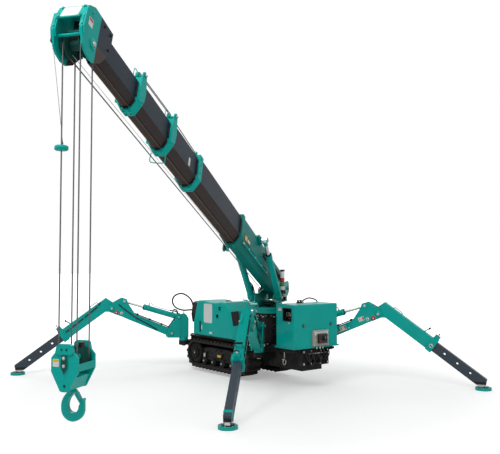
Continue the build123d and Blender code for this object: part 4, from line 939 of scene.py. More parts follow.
def make_post():
    piece = Shape("post_fittings")
    for out in (-1, 1):
        pin_cap(piece, POST.at(*RAM_FOOT, out * 0.196), POST.z * out, 0.024)
        pin_cap(piece, POST.at(-0.262, 1.022, out * 0.126), POST.z * out, 0.034)
        piece.use("teal").box(POST, (-0.262, -0.200), (1.052, 1.070),
            sorted((out * 0.118, out * 0.126)), 0.001)
        pin_cap(piece, POST.at(*DRUM, out * 0.118), POST.z * out, 0.030, "black")
    # drum motor and its hoses on the right side
    motor = POST.at(*DRUM, 0.118)
    piece.use("black").lathe(motor, POST.z, [(0.062, 0.0), (0.062, 0.014), (0.046, 0.018),
        (0.046, 0.075), (0.038, 0.082), (0.038, 0.110), (0.0, 0.112)], 28)
    for x in (-0.02, 0.02):
        fitting(piece, POST.at(DRUM[0] + x, DRUM[1] + 0.038, 0.205), POST.y, 0.010)
        piece.use("hose").run(POST, [
            (DRUM[0] + x, DRUM[1] + 0.070, 0.205), (DRUM[0] + x + 0.02, DRUM[1] + 0.13, 0.20),
            (DRUM[0] + x + 0.11, DRUM[1] + 0.11, 0.17), (-0.30, 1.040 + x, 0.150),
            (-0.22, 0.960 + x, 0.150), (-0.19, 0.924, 0.145 + x * 0.4)], 0.008, 10, 8)
    # valve block on each flange, and hoses that arch from it to the post
    for out in (-1, 1):
        piece.use("black").box(POST, (-0.205, -0.115), (0.918, 0.962),
            sorted((out * 0.128, out * 0.166)), 0.003)
        for k, x in enumerate((-0.190, -0.160, -0.130)):
            spot = POST.at(x, 0.962, out * 0.147)
            fitting(piece, spot, POST.y, 0.008)
            piece.use("hose").hose([spot + UP * 0.028, spot + UP * (0.075 + 0.012 * k)
                + POST.x * 0.004, POST.at(x + 0.070 + 0.018 * k, 1.030 + 0.014 * k, out * 0.142),
                POST.at(x + 0.115 + 0.020 * k, 0.985, out * 0.136),
                POST.at(x + 0.120 + 0.022 * k, 0.930, out * 0.134),
                POST.at(x + 0.118 + 0.022 * k, 0.919, out * 0.134)], 0.0065, 10, 8)
        piece.use("zinc").box(POST, (-0.215, 0.195), (0.9185, 0.9205), sorted((out * 0.120, out * 0.126)))
    # collars, rings, cap and cable of the signal lamp
    lamp = Place(POST.at(-0.025, 0.918, -0.148), POST.x, POST.y)
    piece.use("black").lathe(lamp.at(0, 0.0005), UP, [
        (0.019, 0.0), (0.019, 0.012), (0.012, 0.020), (0.0085, 0.022)], 24)
    piece.lathe(lamp.at(0, 0.098), UP, [(0.0085, 0.0), (0.016, 0.004), (0.024, 0.022),
        (0.028, 0.026), (0.028, 0.032)], 24)
    for z in (0.172, 0.220, 0.268):
        piece.lathe(lamp.at(0, z), UP, [
            (0.0272, 0.0), (0.0282, 0.001), (0.0282, 0.003), (0.0272, 0.004)], 28)
    piece.lathe(lamp.at(0, 0.356), UP, [(0.0272, 0.0), (0.0285, 0.001), (0.0285, 0.009),
        (0.024, 0.014), (0.0, 0.016)], 28)
    piece.run(lamp, [(0, 0.10, 0.006), (0.012, 0.075, 0.012), (0.026, 0.045, 0.014),
        (0.020, 0.015, 0.014), (0.040, 0.004, 0.012), (0.090, 0.0035, 0.010)], 0.0035, 8, 6)
    piece.done("upper")
    table = Place(POST.at(0, 0.850), POST.x, POST.z)
    spots = [(p, UP) for p in ring(table, 0.170, 20, 0.5)
        if not 0.085 < abs((p - table.o).dot(POST.z)) < 0.137]
    bolts("table_bolts", "upper", spots, sizes().bolt, 0.009, "black")
    # hose bundle inside the post, from the swivel up behind the rams
    bundle = Shape("post_hoses")
    for k in range(5):
        z = -0.064 + 0.032 * k
        bundle.use("hose").run(POST, [(0.03, 0.852, z * 0.5), (0.05 + 0.01 * k, 0.885, z * 0.7),
            (0.00, 0.912 - 0.006 * k, z), (-0.07, 0.898, z), (-0.115, 0.870, z)], 0.008, 10, 8)
    bundle.done("upper")


# ---------------------------------------------------------------- bodywork
COVER_OUT = 0.375                                      # the covers' sides from the crane's middle
COVER_TOPS = (-1, 0.898), (1, 0.858)                   # side, height of the cover's top


def make_covers():
    for name, y, z, wide, tall in (("cover_plate", 0.752, 0.741, 0.180, 0.236),
            ("cover_mark", 0.693, 0.503, 0.060, 0.026), ("slot_mark", 0.888, 0.560, 0.018, 0.052)):
        blank_plate(name, "chassis", facing(DECK.at(-COVER_OUT, y, z), (-1, 0, 0)), wide, tall)
    for out, top in COVER_TOPS:
        side, which = out * COVER_OUT, "left" if out < 0 else "right"
        piece = Shape(f"cover_fittings_{which}")
        for y, z in ((0.504, 0.813), (0.552, 0.719)):
            if z > top - 0.06:
                continue
            hole = DECK.at(side - out * 0.0078, y, z)
            piece.use("teal").lathe(hole, (out, 0, 0), [
                (0.031, 0.0079), (0.038, 0.0079), (0.035, 0.0100), (0.031, 0.0100)], 28)
            piece.use("black" if z > 0.75 else "zinc").lathe(hole, (out, 0, 0), [
                (0.0, 0.0), (0.030, 0.0), (0.030, 0.0086), (0.024, 0.0100), (0.0, 0.0100)], 28)
            piece.use("zinc" if z > 0.75 else "black").box(
                facing(DECK.at(side + out * 0.0022, y, z), (out, 0, 0)),
                (-0.010, 0.010), (-0.003, 0.003), (0.0, 0.003), 0.001)
        # cables and dark lining in the slot
        slot = facing(DECK.at(side - out * 0.0215, 0.925, 0.563), (out, 0, 0))
        piece.use("hose").plate(slot, rounded(-0.0185, 0.0185, -0.071, 0.071, 0.018), 0.0, 0.004)
        for x in (-0.009, 0.007):
            piece.run(slot, [(x, -0.060, 0.009), (x + 0.003, 0.0, 0.014), (x, 0.060, 0.009)], 0.005, 8, 6)
        # dark seal along the foot of the cover
        piece.use("black").box(DECK, (side - out * 0.03, side - out * 0.004),
            (0.240, 1.060), (0.447, 0.4555), 0.002)
        piece.done("chassis")
        # dark louvre let into the leaning corner by the near leg
        if out < 0:
            lean = Vector((out * 62, -70, 15)).normalized()
            vent = facing(DECK.at(out * 0.319, 0.255, 0.706), lean, (0, 118, 442)).moved(0, 0, 0.0008)
            piece = Shape(f"corner_louvre_{which}").use("black").plate(vent,
                rounded(-0.044, 0.044, -0.085, 0.085, 0.006), 0.0, 0.003, 0.001)
            for k in range(8):
                piece.use("hose").box(vent, (-0.038, 0.038),
                    (-0.076 + 0.020 * k, -0.068 + 0.020 * k), (0.003, 0.006), 0.001)
            piece.done("chassis")
        # pale strips and a cap on the top, laid on its slopes
        slopes = (((0.880, top - 0.0005), (0.980, top - 0.005)),
            ((0.420, top - 0.0067), (0.480, top - 0.0028)))
        for k, ((y0, z0), (y1, z1)) in enumerate(slopes):
            bed = Place(DECK.at(out * 0.19, (y0 + y1) / 2, (z0 + z1) / 2 + 0.0008),
                (1, 0, 0), (0, y1 - y0, z1 - z0))
            blank_plate(f"top_strip_{which}_{k}", "chassis", bed, 0.210, 0.050 if k == 0 else 0.036)
        filler = Shape(f"cover_cap_{which}").use("black").lathe(DECK.at(out * 0.12, 0.660, top - 0.0185),
            UP, [(0.038, 0.0), (0.042, 0.002), (0.042, 0.010), (0.030, 0.015), (0.0, 0.016)], 32)
        filler.use("teal").box(DECK, (out * 0.12 - 0.004, out * 0.12 + 0.004),
            (0.632, 0.688), (top - 0.006, top + 0.003), 0.002)
        filler.done("chassis")
        # louvred vent on the near end
        vent = facing(DECK.at(out * 0.235, 0.2085, 0.523), (0, -1, 0))
        louvre = Shape(f"vent_{which}").use("black").plate(vent,
            rounded(-0.058, 0.058, -0.052, 0.050, 0.008), 0.0, 0.004, 0.001)
        for k in range(6):
            slat = vent.moved(0, -0.038 + 0.015 * k, 0.006)
            louvre.use("zinc" if out > 0 else "black").plate(
                Place(slat.o, slat.y * 0.6 + slat.z * 0.8, slat.x), [
                (-0.005, -0.050), (0.005, -0.050), (0.005, 0.050), (-0.005, 0.050)], -0.0008, 0.0008)
        louvre.done("chassis")
    # end hoses: a loop from the radiator over the tail, four lines down the engine, its filter and pulley
    hoses = Shape("engine_hoses").use("hose")
    hoses.run(DECK, [(-0.285, 1.215, 0.800), (-0.300, 1.25, 0.885), (-0.310, 1.37, 0.945),
        (-0.312, 1.50, 0.955), (-0.312, 1.64, 0.915), (-0.305, 1.70, 0.840), (-0.295, 1.64, 0.765),
        (-0.280, 1.48, 0.735), (-0.26, 1.34, 0.745), (-0.24, 1.265, 0.750)], 0.0105, 14, 10)
    for k in range(4):
        x = -0.07 + 0.05 * k
        hoses.run(DECK, [(x, 1.275, 0.660 - 0.03 * k), (x, 1.315, 0.640 - 0.03 * k),
            (x * 1.2, 1.34, 0.560), (x * 1.4, 1.33, 0.470), (x * 1.4, 1.31, 0.434)], 0.009, 12, 8)
        fitting(hoses, DECK.at(x, 1.275, 0.660 - 0.03 * k), (0, 1, 0), 0.011)
        hoses.use("hose")
    hoses.use("zinc").lathe(DECK.at(0.060, 1.275, 0.560), (0, 1, 0), [
        (0.045, 0.0), (0.048, 0.004), (0.048, 0.030), (0.040, 0.036), (0.0, 0.036)], 28)
    hoses.use("black").lathe(DECK.at(0.085, 1.20, 0.700), UP, [
        (0.022, 0.0), (0.022, 0.06), (0.030, 0.062), (0.030, 0.070), (0.0, 0.072)], 24)
    hoses.use("zinc").lathe(DECK.at(-0.03, 1.18, 0.700), UP, [
        (0.052, 0.0), (0.055, 0.004), (0.055, 0.080), (0.045, 0.092), (0.0, 0.094)], 28)
    hoses.done("chassis")


def make_console():
    # the housing's left side, front, back, underside and top
    x0, y0, y1, z0, z1 = -0.333, -0.801, -0.495, 0.444, 0.919

    def on_left(y, z):
        return facing(DECK.at(x0, y, z), (-1, 0, 0))

    left = on_left((-0.753 - 0.622) / 2, 0.8115)
    window = Shape("gauge_window")
    rim, hole = 0.072, 0.0645
    outer, inner = rounded(-rim, rim, -rim, rim, 0.012), rounded(-hole, hole, -hole, hole, 0.006)
    for i in range(len(outer)):
        j = (i + 1) % len(outer)
        window.use("hose").plate(left, [outer[i], outer[j], inner[j], inner[i]], 0.0003, 0.0035)
    # lining of the recess
    window.use("black").box(left, (-0.0650, 0.0650), (-0.0650, 0.0650), (-0.0690, -0.0680))
    for low, high in ((-0.0652, -0.0642), (0.0642, 0.0652)):
        window.box(left, (low, high), (-0.0640, 0.0640), (-0.0675, 0.0))
        window.box(left, (-0.0640, 0.0640), (low, high), (-0.0675, 0.0))
    for x in (-0.031, 0.031):
        dial = left.at(x, 0.0, -0.041)
        window.use("zinc").lathe(dial, left.z, [(0.0245, -0.012), (0.0265, -0.006), (0.0265, 0.004),
            (0.0225, 0.0065), (0.0222, 0.002)], 32)
        window.use("plate").lathe(dial, left.z, disc(0.0222, 0.0006, 0.0020), 32)
        window.use("red").plate(left.moved(x, 0, -0.039).turned(0.7), [
            (-0.0008, -0.004), (0.0008, -0.004), (0.0005, 0.016), (-0.0005, 0.016)], 0.0004, 0.0012)
    for k in range(5):
        window.use(("red", "zinc", "yellow", "zinc", "black")[k]).lathe(
            left.at(-0.044 + 0.022 * k, -0.047, -0.068), left.z, [
            (0.0065, 0.0), (0.0065, 0.008), (0.0045, 0.013), (0.0, 0.014)], 14)
    window.done("chassis")
    blank_plate("console_plate", "chassis", on_left(-0.567, 0.868), 0.052, 0.038, "plate", "red")
    blank_plate("console_mark", "chassis", on_left(-0.718, 0.722), 0.018, 0.008)
    # round latches on the front, raised pull on the left side, hinges at the back
    face = Shape("console_latches")
    for x, z in ((-0.200, 0.692), (0.212, 0.690)):
        seat = facing(DECK.at(x, y0, z), (0, -1, 0))
        face.use("teal").lathe(seat.o, seat.z, [(0.030, 0.0002), (0.030, 0.0014), (0.026, 0.0032),
            (0.020, 0.0034), (0.019, 0.0006)], 32)
        face.use("black").lathe(seat.o, seat.z, [(0.0, 0.0004), (0.0185, 0.0004), (0.0185, 0.0030),
            (0.014, 0.0062), (0.0, 0.0068)], 28)
        face.use("zinc").box(seat, (-0.010, 0.010), (-0.0025, 0.0025), (0.006, 0.009), 0.001)
    pull = on_left(-0.690, 0.598)
    face.use("teal").run(pull, [(-0.030, -0.030, 0.0015), (-0.028, 0.016, 0.002),
        (0.0, 0.028, 0.002), (0.028, 0.016, 0.002), (0.030, -0.030, 0.0015)], 0.0040, 8, 8)
    for x in (-0.18, 0.16):
        face.use("zinc").lathe(DECK.at(x - 0.03, y1 + 0.003, z1 - 0.006), (1, 0, 0),
            disc(0.006, 0, 0.06), 12)
    face.done("chassis")
    # operator's panel: knob with its mark, red button, four small ones, blank plate and three hoses
    left_x, right_x, bottom = -0.075, 0.155, z0 + 0.020
    panel = Shape("panel_fittings")
    front = facing(DECK.at((left_x + right_x) / 2, y0 - 0.030, bottom + 0.085), (0, -1, 0))
    box = facing(DECK.at(0.0425, y0 - 0.060, bottom + 0.080), (0, -1, 0))
    panel.use("black").lathe(box.at(0.006, 0.004, 0.0005), box.z, [
        (0.030, 0.0), (0.030, 0.004), (0.020, 0.006), (0.018, 0.020), (0.014, 0.024), (0.0, 0.024)], 28)
    panel.use("zinc").box(box, (0.003, 0.009), (0.004, 0.024), (0.0245, 0.027), 0.001)
    panel.use("red").lathe(box.at(-0.045, -0.030, 0.0), box.z,
        [(0.008, 0.0), (0.008, 0.004), (0.005, 0.007), (0.0, 0.008)], 18)
    for k, x in enumerate((-0.088, -0.088, 0.096, 0.096)):
        panel.use("plate" if k != 1 else "yellow").lathe(front.at(x, (0.040, -0.020, 0.045, 0.0)[k], 0.0),
            front.z, [(0.010, 0.0), (0.010, 0.003), (0.006, 0.006), (0.0, 0.007)], 18)
    panel.use("plate").plate(front, rounded(-0.100, 0.100, 0.052, 0.070, 0.003), 0.0002, 0.0012)
    for k, x in enumerate((-0.02, 0.03, 0.07)):
        spot = DECK.at(x, y0 - 0.018, bottom + 0.001)
        fitting(panel, spot, (0, 0, -1), 0.009)
        panel.use("hose")
        start = spot - UP * 0.032
        panel.hose([start, start + Vector((0.01 * k, -0.006, -0.060)),
            DECK.at(x + 0.05, y0 - 0.012, 0.330 - 0.012 * k), DECK.at(x + 0.11, y0 - 0.004, 0.352),
            DECK.at(x + 0.125, y0 + 0.010, 0.400), DECK.at(x + 0.12, y0 + 0.030, 0.436)], 0.0055, 10, 8)
    panel.done("chassis")
    bolts("panel_bolts", "chassis", [(front.at(x, y), front.z) for x in (-0.104, 0.104)
        for y in (-0.076, 0.076)], sizes().bolt * 0.6, 0.004, "zinc")
    # knobs and hose arch on the top
    top = Shape("console_top")
    for x in (-0.030, 0.012):
        top.use("black").lathe(DECK.at(x, -0.530, z1), UP, [(0.020, 0.0), (0.020, 0.008), (0.011, 0.016),
            (0.011, 0.020), (0.017, 0.026), (0.012, 0.032), (0.0, 0.033)], 24)
    top.use("hose").run(DECK, [(0.060, -0.512, z1 - 0.002), (0.075, -0.505, 0.945),
        (0.170, -0.500, 0.967), (0.265, -0.505, 0.945), (0.285, -0.512, z1 - 0.002)], 0.008, 12, 10)
    for x in (0.060, 0.285):
        top.use("zinc").lathe(DECK.at(x, -0.512, z1 - 0.001), UP,
            [(0.014, 0.0), (0.014, 0.006), (0.010, 0.010)], 12)
    top.done("chassis")
    bolts("console_bolts", "chassis", [(DECK.at(x, y0 - 0.008, z0 + 0.007), Vector((0, -1, 0)))
        for x in (-0.30, -0.15, 0.20, 0.30)] + [(DECK.at(x0 - 0.008, y, z0 + 0.007), Vector((-1, 0, 0)))
        for y in (-0.76, -0.65, -0.54)], sizes().bolt * 0.5, 0.003, "teal")


# ---------------------------------------------------------------- chassis and crawlers
def make_chassis():
    # supply hoses from the console's back to the column, each with its own sag
    hoses = Shape("supply_hoses")
    for k in range(8):
        x = -0.175 + 0.050 * k
        high = 0.83 - 0.065 * (k % 4)
        start = DECK.at(x, -0.495, high)
        fitting(hoses, start, (0, 1, 0), 0.010)
        hoses.use("hose").hose([start + Vector((0, 0.034, 0)), DECK.at(x * 0.9, -0.43, high - 0.01),
            DECK.at(x * 0.7, -0.33, high - 0.10 - 0.02 * (k % 3)),
            DECK.at(x * 0.55, -0.235, high - 0.16), DECK.at(x * 0.50, -0.165, 0.640 - 0.03 * (k % 4)),
            DECK.at(x * 0.48, -0.125, 0.620 - 0.03 * (k % 4))], sizes().hose / 2, 12, 10)
    # loops that hang below the console's back edge
    for k, x in enumerate((-0.21, -0.13, 0.11, 0.20)):
        hoses.use("hose").run(DECK, [(x, -0.505, 0.452), (x - 0.01, -0.470, 0.385),
            (x * 0.9, -0.400, 0.442 - 0.012 * k), (x * 0.8, -0.300, 0.430),
            (x * 0.75, -0.220, 0.4255)], 0.0085, 12, 10)
    hoses.use("black").box(DECK, (-0.200, 0.190), (-0.494, -0.450), (0.560, 0.640), 0.004)
    hoses.box(DECK, (-0.150, 0.140), (-0.494, -0.462), (0.470, 0.540), 0.004)
    for k in range(7):
        x = -0.165 + 0.054 * k
        fitting(hoses, DECK.at(x, -0.470, 0.640), (0, 0, 1), 0.009)
        hoses.use("hose").run(DECK, [(x, -0.470, 0.672), (x, -0.465, 0.71), (x * 0.8, -0.40, 0.735),
            (x * 0.6, -0.28, 0.66), (x * 0.5, -0.19, 0.545), (x * 0.45, -0.145, 0.535)], 0.0065, 10, 8)
        hoses.use("black").lathe(DECK.at(x, -0.4505, 0.600), (0, 1, 0),
            cap(0.014, 0.0, 0.012, 0.009, 0.018), 16)
    collar = DECK.moved(0, 0, 0.740)
    for spot in ring(collar, 0.140, 8, 0.5):
        fitting(hoses, spot, (spot - collar.o).normalized(), 0.010)
    hoses.done("chassis")
    spots = [(p, -UP) for p in ring(DECK.moved(0, 0, 0.756), 0.158, 16, 0.5)]
    spots += [(DECK.at(x, y, 0.429), UP) for x in (-0.155, 0.155) for y in (-0.145, 0.145)]
    spots += [(DECK.at(x, y, z), DECK.y * way) for y, way in ((-0.780, -1), (1.400, 1))
        for x in (-0.175, -0.07, 0.07, 0.175) for z in (0.275, 0.405)]
    bolts("frame_bolts", "chassis", spots, sizes().bolt, 0.009, "zinc")
    # brackets, rod and shackle under the console, ribs, tie bar and hoses at the nose
    under = Shape("console_brackets")
    for x in (-0.255, 0.255):
        under.use("black").plate(Place(DECK.at(x - 0.006), (0, 1, 0), UP), [
            (-0.78, 0.444), (-0.52, 0.444), (-0.52, 0.400), (-0.60, 0.372),
            (-0.78, 0.405)], 0.0, 0.012, 0.001)
    shackle = DECK.moved(-0.226, -0.520)
    under.use("zinc").run(shackle, [(0, 0, 0.444), (0, 0, 0.300)], 0.007, 10, 1)
    for s in (-1, 1):
        under.run(shackle, [(s * 0.013, 0, 0.302), (s * 0.022, 0, 0.275),
            (s * 0.012, 0, 0.248), (0, 0, 0.243)], 0.005, 8, 6)
    under.lathe(shackle.at(-0.028, 0, 0.302), (1, 0, 0), disc(0.008, 0.0, 0.056), 10)
    under.use("black").run(DECK, [(-0.150, -0.760, 0.405), (-0.150, -0.792, 0.350),
        (-0.140, -0.792, 0.300)], 0.006, 8, 6)
    under.use("black").box(DECK, (-0.300, 0.300), (-0.770, -0.752), (0.408, 0.432), 0.003)
    for x in (-0.110, -0.045, 0.105, 0.150):
        under.plate(Place(DECK.at(x - 0.005), (0, 1, 0), UP), [
            (-0.7795, 0.262), (-0.7795, 0.424), (-0.800, 0.424), (-0.812, 0.400),
            (-0.812, 0.300), (-0.795, 0.262)], 0.0, 0.010, 0.001)
    under.use("zinc").run(DECK, [(-0.118, -0.800, 0.384), (0.160, -0.800, 0.384)], 0.007, 12, 1)
    for k, (x, drop) in enumerate(((-0.165, 0.10), (-0.130, 0.14), (-0.085, 0.09), (-0.060, 0.12))):
        under.use("hose").run(DECK, [(x, -0.770, 0.436), (x - 0.01, -0.800, 0.420),
            (x + 0.01, -0.826, 0.420 - drop), (x + 0.05, -0.822, 0.405 - drop),
            (x + 0.10, -0.805, 0.400 - drop * 0.3), (x + 0.12, -0.775, 0.425)], 0.0065, 10, 8)
    under.done("chassis")


CRAWLER_SIDE, CRAWLER_MIDDLE = 0.270, 0.590            # middle of a crawler, from the slewing axis
WHEEL_UP, WHEELS_AT = 0.225, (0.120, 1.060)            # its end wheels' axle height and places along it
ROLLER_UP, ROLLER_PITCH = 0.1413, 0.188


def make_tracks():
    """Hub caps, sprocket rims, roller caps and plates of both crawlers."""
    for side in (-1, 1):
        which, middle = "left" if side < 0 else "right", side * CRAWLER_SIDE
        piece, spots = Shape(f"crawler_fittings_{which}"), []
        for out in (-1, 1):
            way = Vector((out, 0, 0))
            for y in WHEELS_AT:
                hub = DECK.at(middle + out * 0.086, y, WHEEL_UP)
                piece.use("black").lathe(hub, way, [
                    (0.040, -0.001), (0.040, 0.006), (0.030, 0.010), (0.0, 0.0105)], 28)
                piece.use("zinc").lathe(hub, way, [(0.0, 0.0), (0.009, 0.010),
                    (0.009, 0.0135), (0.0, 0.0145)], 14)
                face = DECK.at(middle + out * 0.070, y, WHEEL_UP)
                piece.use("black").lathe(face, way, [(0.118, -0.001), (0.118, 0.006), (0.106, 0.010),
                    (0.094, 0.006), (0.094, -0.001)], 40)
                wheel = Place(hub, (0, 1, 0), UP)
                spots += [(p, way) for p in ring(wheel, 0.050, 6)]
                spots += [(p, way) for p in ring(Place(face, wheel.x, UP), 0.080, 10)]
                if y < CRAWLER_MIDDLE:
                    # sprocket teeth
                    for k in range(15):
                        a = 2 * math.pi * k / 15
                        tooth = Place(face, (0, math.cos(a), math.sin(a)), (0, -math.sin(a), math.cos(a)))
                        piece.use("black").plate(tooth, [(0.104, -0.013), (0.1305, -0.006), (0.1305, 0.006),
                            (0.104, 0.013)], *sorted((out * 0.001, out * 0.009)), 0.001)
            for k in range(4):
                y = CRAWLER_MIDDLE + ROLLER_PITCH * (k - 1.5)
                spot = DECK.at(middle + out * 0.074, y, ROLLER_UP)
                piece.use("black").lathe(spot, way, cap(0.030, -0.001, 0.005, 0.022, 0.009), 20)
                piece.use("zinc").bolt(spot + way * 0.009, way, 0.009)
            # grease tensioner cover and steel edge of the frame
            rail = facing(DECK.at(middle + out * 0.050, CRAWLER_MIDDLE, 0.286), (out, 0, 0))
            piece.use("black").plate(rail, rounded(-0.060, 0.060, -0.014, 0.016, 0.006), 0.0, 0.005, 0.001)
            spots += [(rail.at(x, 0.001, 0.005), way) for x in (-0.048, 0.048)]
            low = facing(DECK.at(middle + out * 0.050, CRAWLER_MIDDLE, 0.176), (out, 0, 0))
            piece.use("black").plate(low, rounded(-0.46, 0.46, -0.011, 0.004, 0.004), 0.0, 0.006, 0.001)
        piece.done("chassis")
        bolts(f"crawler_bolts_{which}", "chassis", spots, sizes().bolt * 0.85, 0.007, "black")
        rail = facing(DECK.at(side * 0.320, 0.905, 0.206), (side, 0, 0))
        blank_plate(f"crawler_plate_{which}", "chassis", rail, 0.036, 0.044)
        blank_plate(f"crawler_stripe_{which}", "chassis",
            facing(DECK.at(side * 0.320, CRAWLER_MIDDLE, 0.222), (side, 0, 0)), 0.070, 0.026, "yellow")


# ---------------------------------------------------------------- outriggers
# pins in a leg's plane, from the swing axis and the ground
ARM_ROOT, KNEE = (0.166, 0.456), (0.932, 0.788)
LIFT_FOOT, LIFT_EYE = (0.075, 0.660), (0.775, 0.877)
# the outer box: its slope, its mouth from the knee, how far its middle lies above the knee, its half width
OUTER_SLOPE, OUTER_TO, OUTER_RISE, OUTER_HALF = math.radians(-36.0), 0.700, 0.082, 0.046
STAY_TO = 1.335                                        # the stay's end from the knee


def make_leg(name):
    """Pins, glands, hoses, plates and bolts of one outrigger, given in its own upright plane."""
    leg = leg_place(name).moved(-ARM_ROOT[0], -ARM_ROOT[1])
    arm = leg.moved(*ARM_ROOT).turned(math.atan2(KNEE[1] - ARM_ROOT[1], KNEE[0] - ARM_ROOT[0]))
    ram = leg.moved(*LIFT_FOOT).turned(math.atan2(LIFT_EYE[1] - LIFT_FOOT[1], LIFT_EYE[0] - LIFT_FOOT[0]))
    outer = leg.moved(*KNEE).turned(OUTER_SLOPE)
    hose = sizes().hose / 2
    bracket, arms, barrel, outers, stay = (Shape(f"{name}_{part}_fittings")
        for part in ("bracket", "arm", "barrel", "outer", "stay"))
    for out in (-1, 1):
        way = leg.z * out
        pin_cap(bracket, leg.at(*ARM_ROOT, out * 0.072), way, 0.027, "teal")
        pin_cap(bracket, leg.at(*LIFT_FOOT, out * 0.072), way, 0.021, "teal")
        pin_cap(arms, leg.at(*LIFT_EYE, out * 0.060), way, 0.030, "teal")
        pin_cap(arms, leg.at(*KNEE, out * 0.070), way, 0.025, "teal")
        arms.use("teal").lathe(leg.at(*KNEE, out * 0.060), way, [(0.036, -0.001),
            (0.036, 0.005), (0.0195, 0.0055)], 28)
    # swing pin's cap and its locking handle
    bracket.use("teal").lathe(leg.at(0, 0.400 + 0.290, 0), UP, cap(0.026, 0.0, 0.008, 0.018, 0.013), 24)
    bracket.use("black").run(leg, [(0.0, 0.700, 0.0), (0.0, 0.722, 0.0), (-0.012, 0.734, 0.020),
        (-0.020, 0.738, 0.050)], 0.005, 8, 6)
    bracket.use("zinc").lathe(leg.at(0, 0.2915, 0), -UP, cap(0.026, -0.001, 0.005, 0.016, 0.008), 24)
    bracket.done(f"{name}_bracket")
    # lift ram: gland, band, ports, pipe and hoses
    gland(barrel, ram.at(0.470), ram.x, 0.0192, 0.031, 24)
    barrel.use("teal").lathe(ram.at(0.438), ram.x, [
        (0.0355, 0.0), (0.0385, 0.002), (0.0385, 0.028), (0.0355, 0.030)], 28)
    for x in (0.085, 0.410):
        port(barrel, ram, x, 0.013, 0.010, 0.013, 0.008, 14)
    barrel.use("zinc").run(ram, [(0.410, 0.070), (0.395, 0.076), (0.36, 0.056),
        (0.28, 0.048), (0.18, 0.048, 0.012), (0.12, 0.050, 0.022)], 0.0045, 8, 6)
    barrel.use("hose").run(ram, [(0.125, 0.050, 0.021), (0.08, 0.058, 0.022), (0.035, 0.056, 0.018),
        (0.010, 0.036, 0.012)], hose, 10, 8)
    barrel.run(ram, [(0.085, 0.068), (0.074, 0.080), (0.040, 0.074, -0.008),
        (0.012, 0.036, -0.012)], hose, 10, 8)
    barrel.done(f"{name}_barrel")
    # arm: hoses under clips on top, lock rod in clips on its side, round marks and blank plates
    for z in (-0.020, 0.012):
        arms.use("hose").run(arm, [(0.02, 0.058, z), (0.12, 0.061, z), (0.30, 0.0565, z),
            (0.44, 0.054, z), (0.60, 0.051, z)], 0.0065, 10, 4)
    for x in (0.16, 0.33, 0.50):
        arms.use("black").box(arm, (x - 0.009, x + 0.009), (0.040, 0.068), (-0.030, 0.022), 0.002)
    for x in (0.19, 0.44):
        arms.use("teal").box(arm, (x - 0.012, x + 0.012), (-0.034, -0.006), (0.0462, 0.0640), 0.002)
    rod = arm.moved(0, 0, 0.056)
    arms.use("zinc").run(rod, [(0.17, -0.020), (0.465, -0.020)], 0.006, 12, 1)
    arms.use("black").run(rod, [(0.17, -0.020), (0.155, -0.021), (0.150, -0.030)], 0.0075, 10, 6)
    for out in (-1, 1):
        for x, y, r, finish in ((0.762, -0.024, 0.027, "red"), (0.698, -0.006, 0.019, "plate")):
            side = facing(arm.at(x, y, out * 0.060), arm.z * out, arm.y)
            arms.use(finish).lathe(side.o, side.z, disc(r, 0.0003, 0.0012), 28)
            arms.use("plate" if finish == "red" else "black").lathe(side.o, side.z,
                disc(r * 0.35, 0.0013, 0.0018), 20)
    for x, y, wide, z in ((0.270, 0.006, 0.046, 0.046), (0.385, 0.004, 0.038, 0.046),
            (0.630, 0.020, 0.034, 0.060)):
        side = facing(arm.at(x, y, z), arm.z, arm.y)
        arms.use("plate").plate(side, rounded(-wide, wide, -0.024, 0.024, 0.004), 0.0003, 0.0013)
        arms.use("red").plate(side,
            rounded(wide - 0.018, wide - 0.004, -0.018, 0.018, 0.003), 0.0013, 0.0018)
        arms.use("yellow").plate(side,
            rounded(-wide + 0.006, -wide + 0.024, -0.016, 0.016, 0.003), 0.0013, 0.0018)
    # pressure hose down the arm's left side
    slim, broad = -0.0535, -0.0675                     # close to the arm, then round its broader outer half
    arms.use("hose").run(arm, [(0.190, -0.036, -0.0500), (0.205, -0.028, slim),
        (0.30, -0.012, slim), (0.46, 0.004, slim), (0.52, 0.012, -0.0600), (0.58, 0.028, broad),
        (0.68, 0.052, broad), (0.755, 0.074, broad), (0.775, 0.082, -0.0620)], 0.0068, 10, 6)
    # small pipe along each side
    for out in (-1, 1):
        edge = arm.moved(0, 0, out * 0.0495)
        arms.use("teal").run(edge, [(0.17, 0.030), (0.20, 0.034), (0.42, 0.032),
            (0.47, 0.030)], 0.0035, 8, 6)
    arms.done(f"{name}_arm")
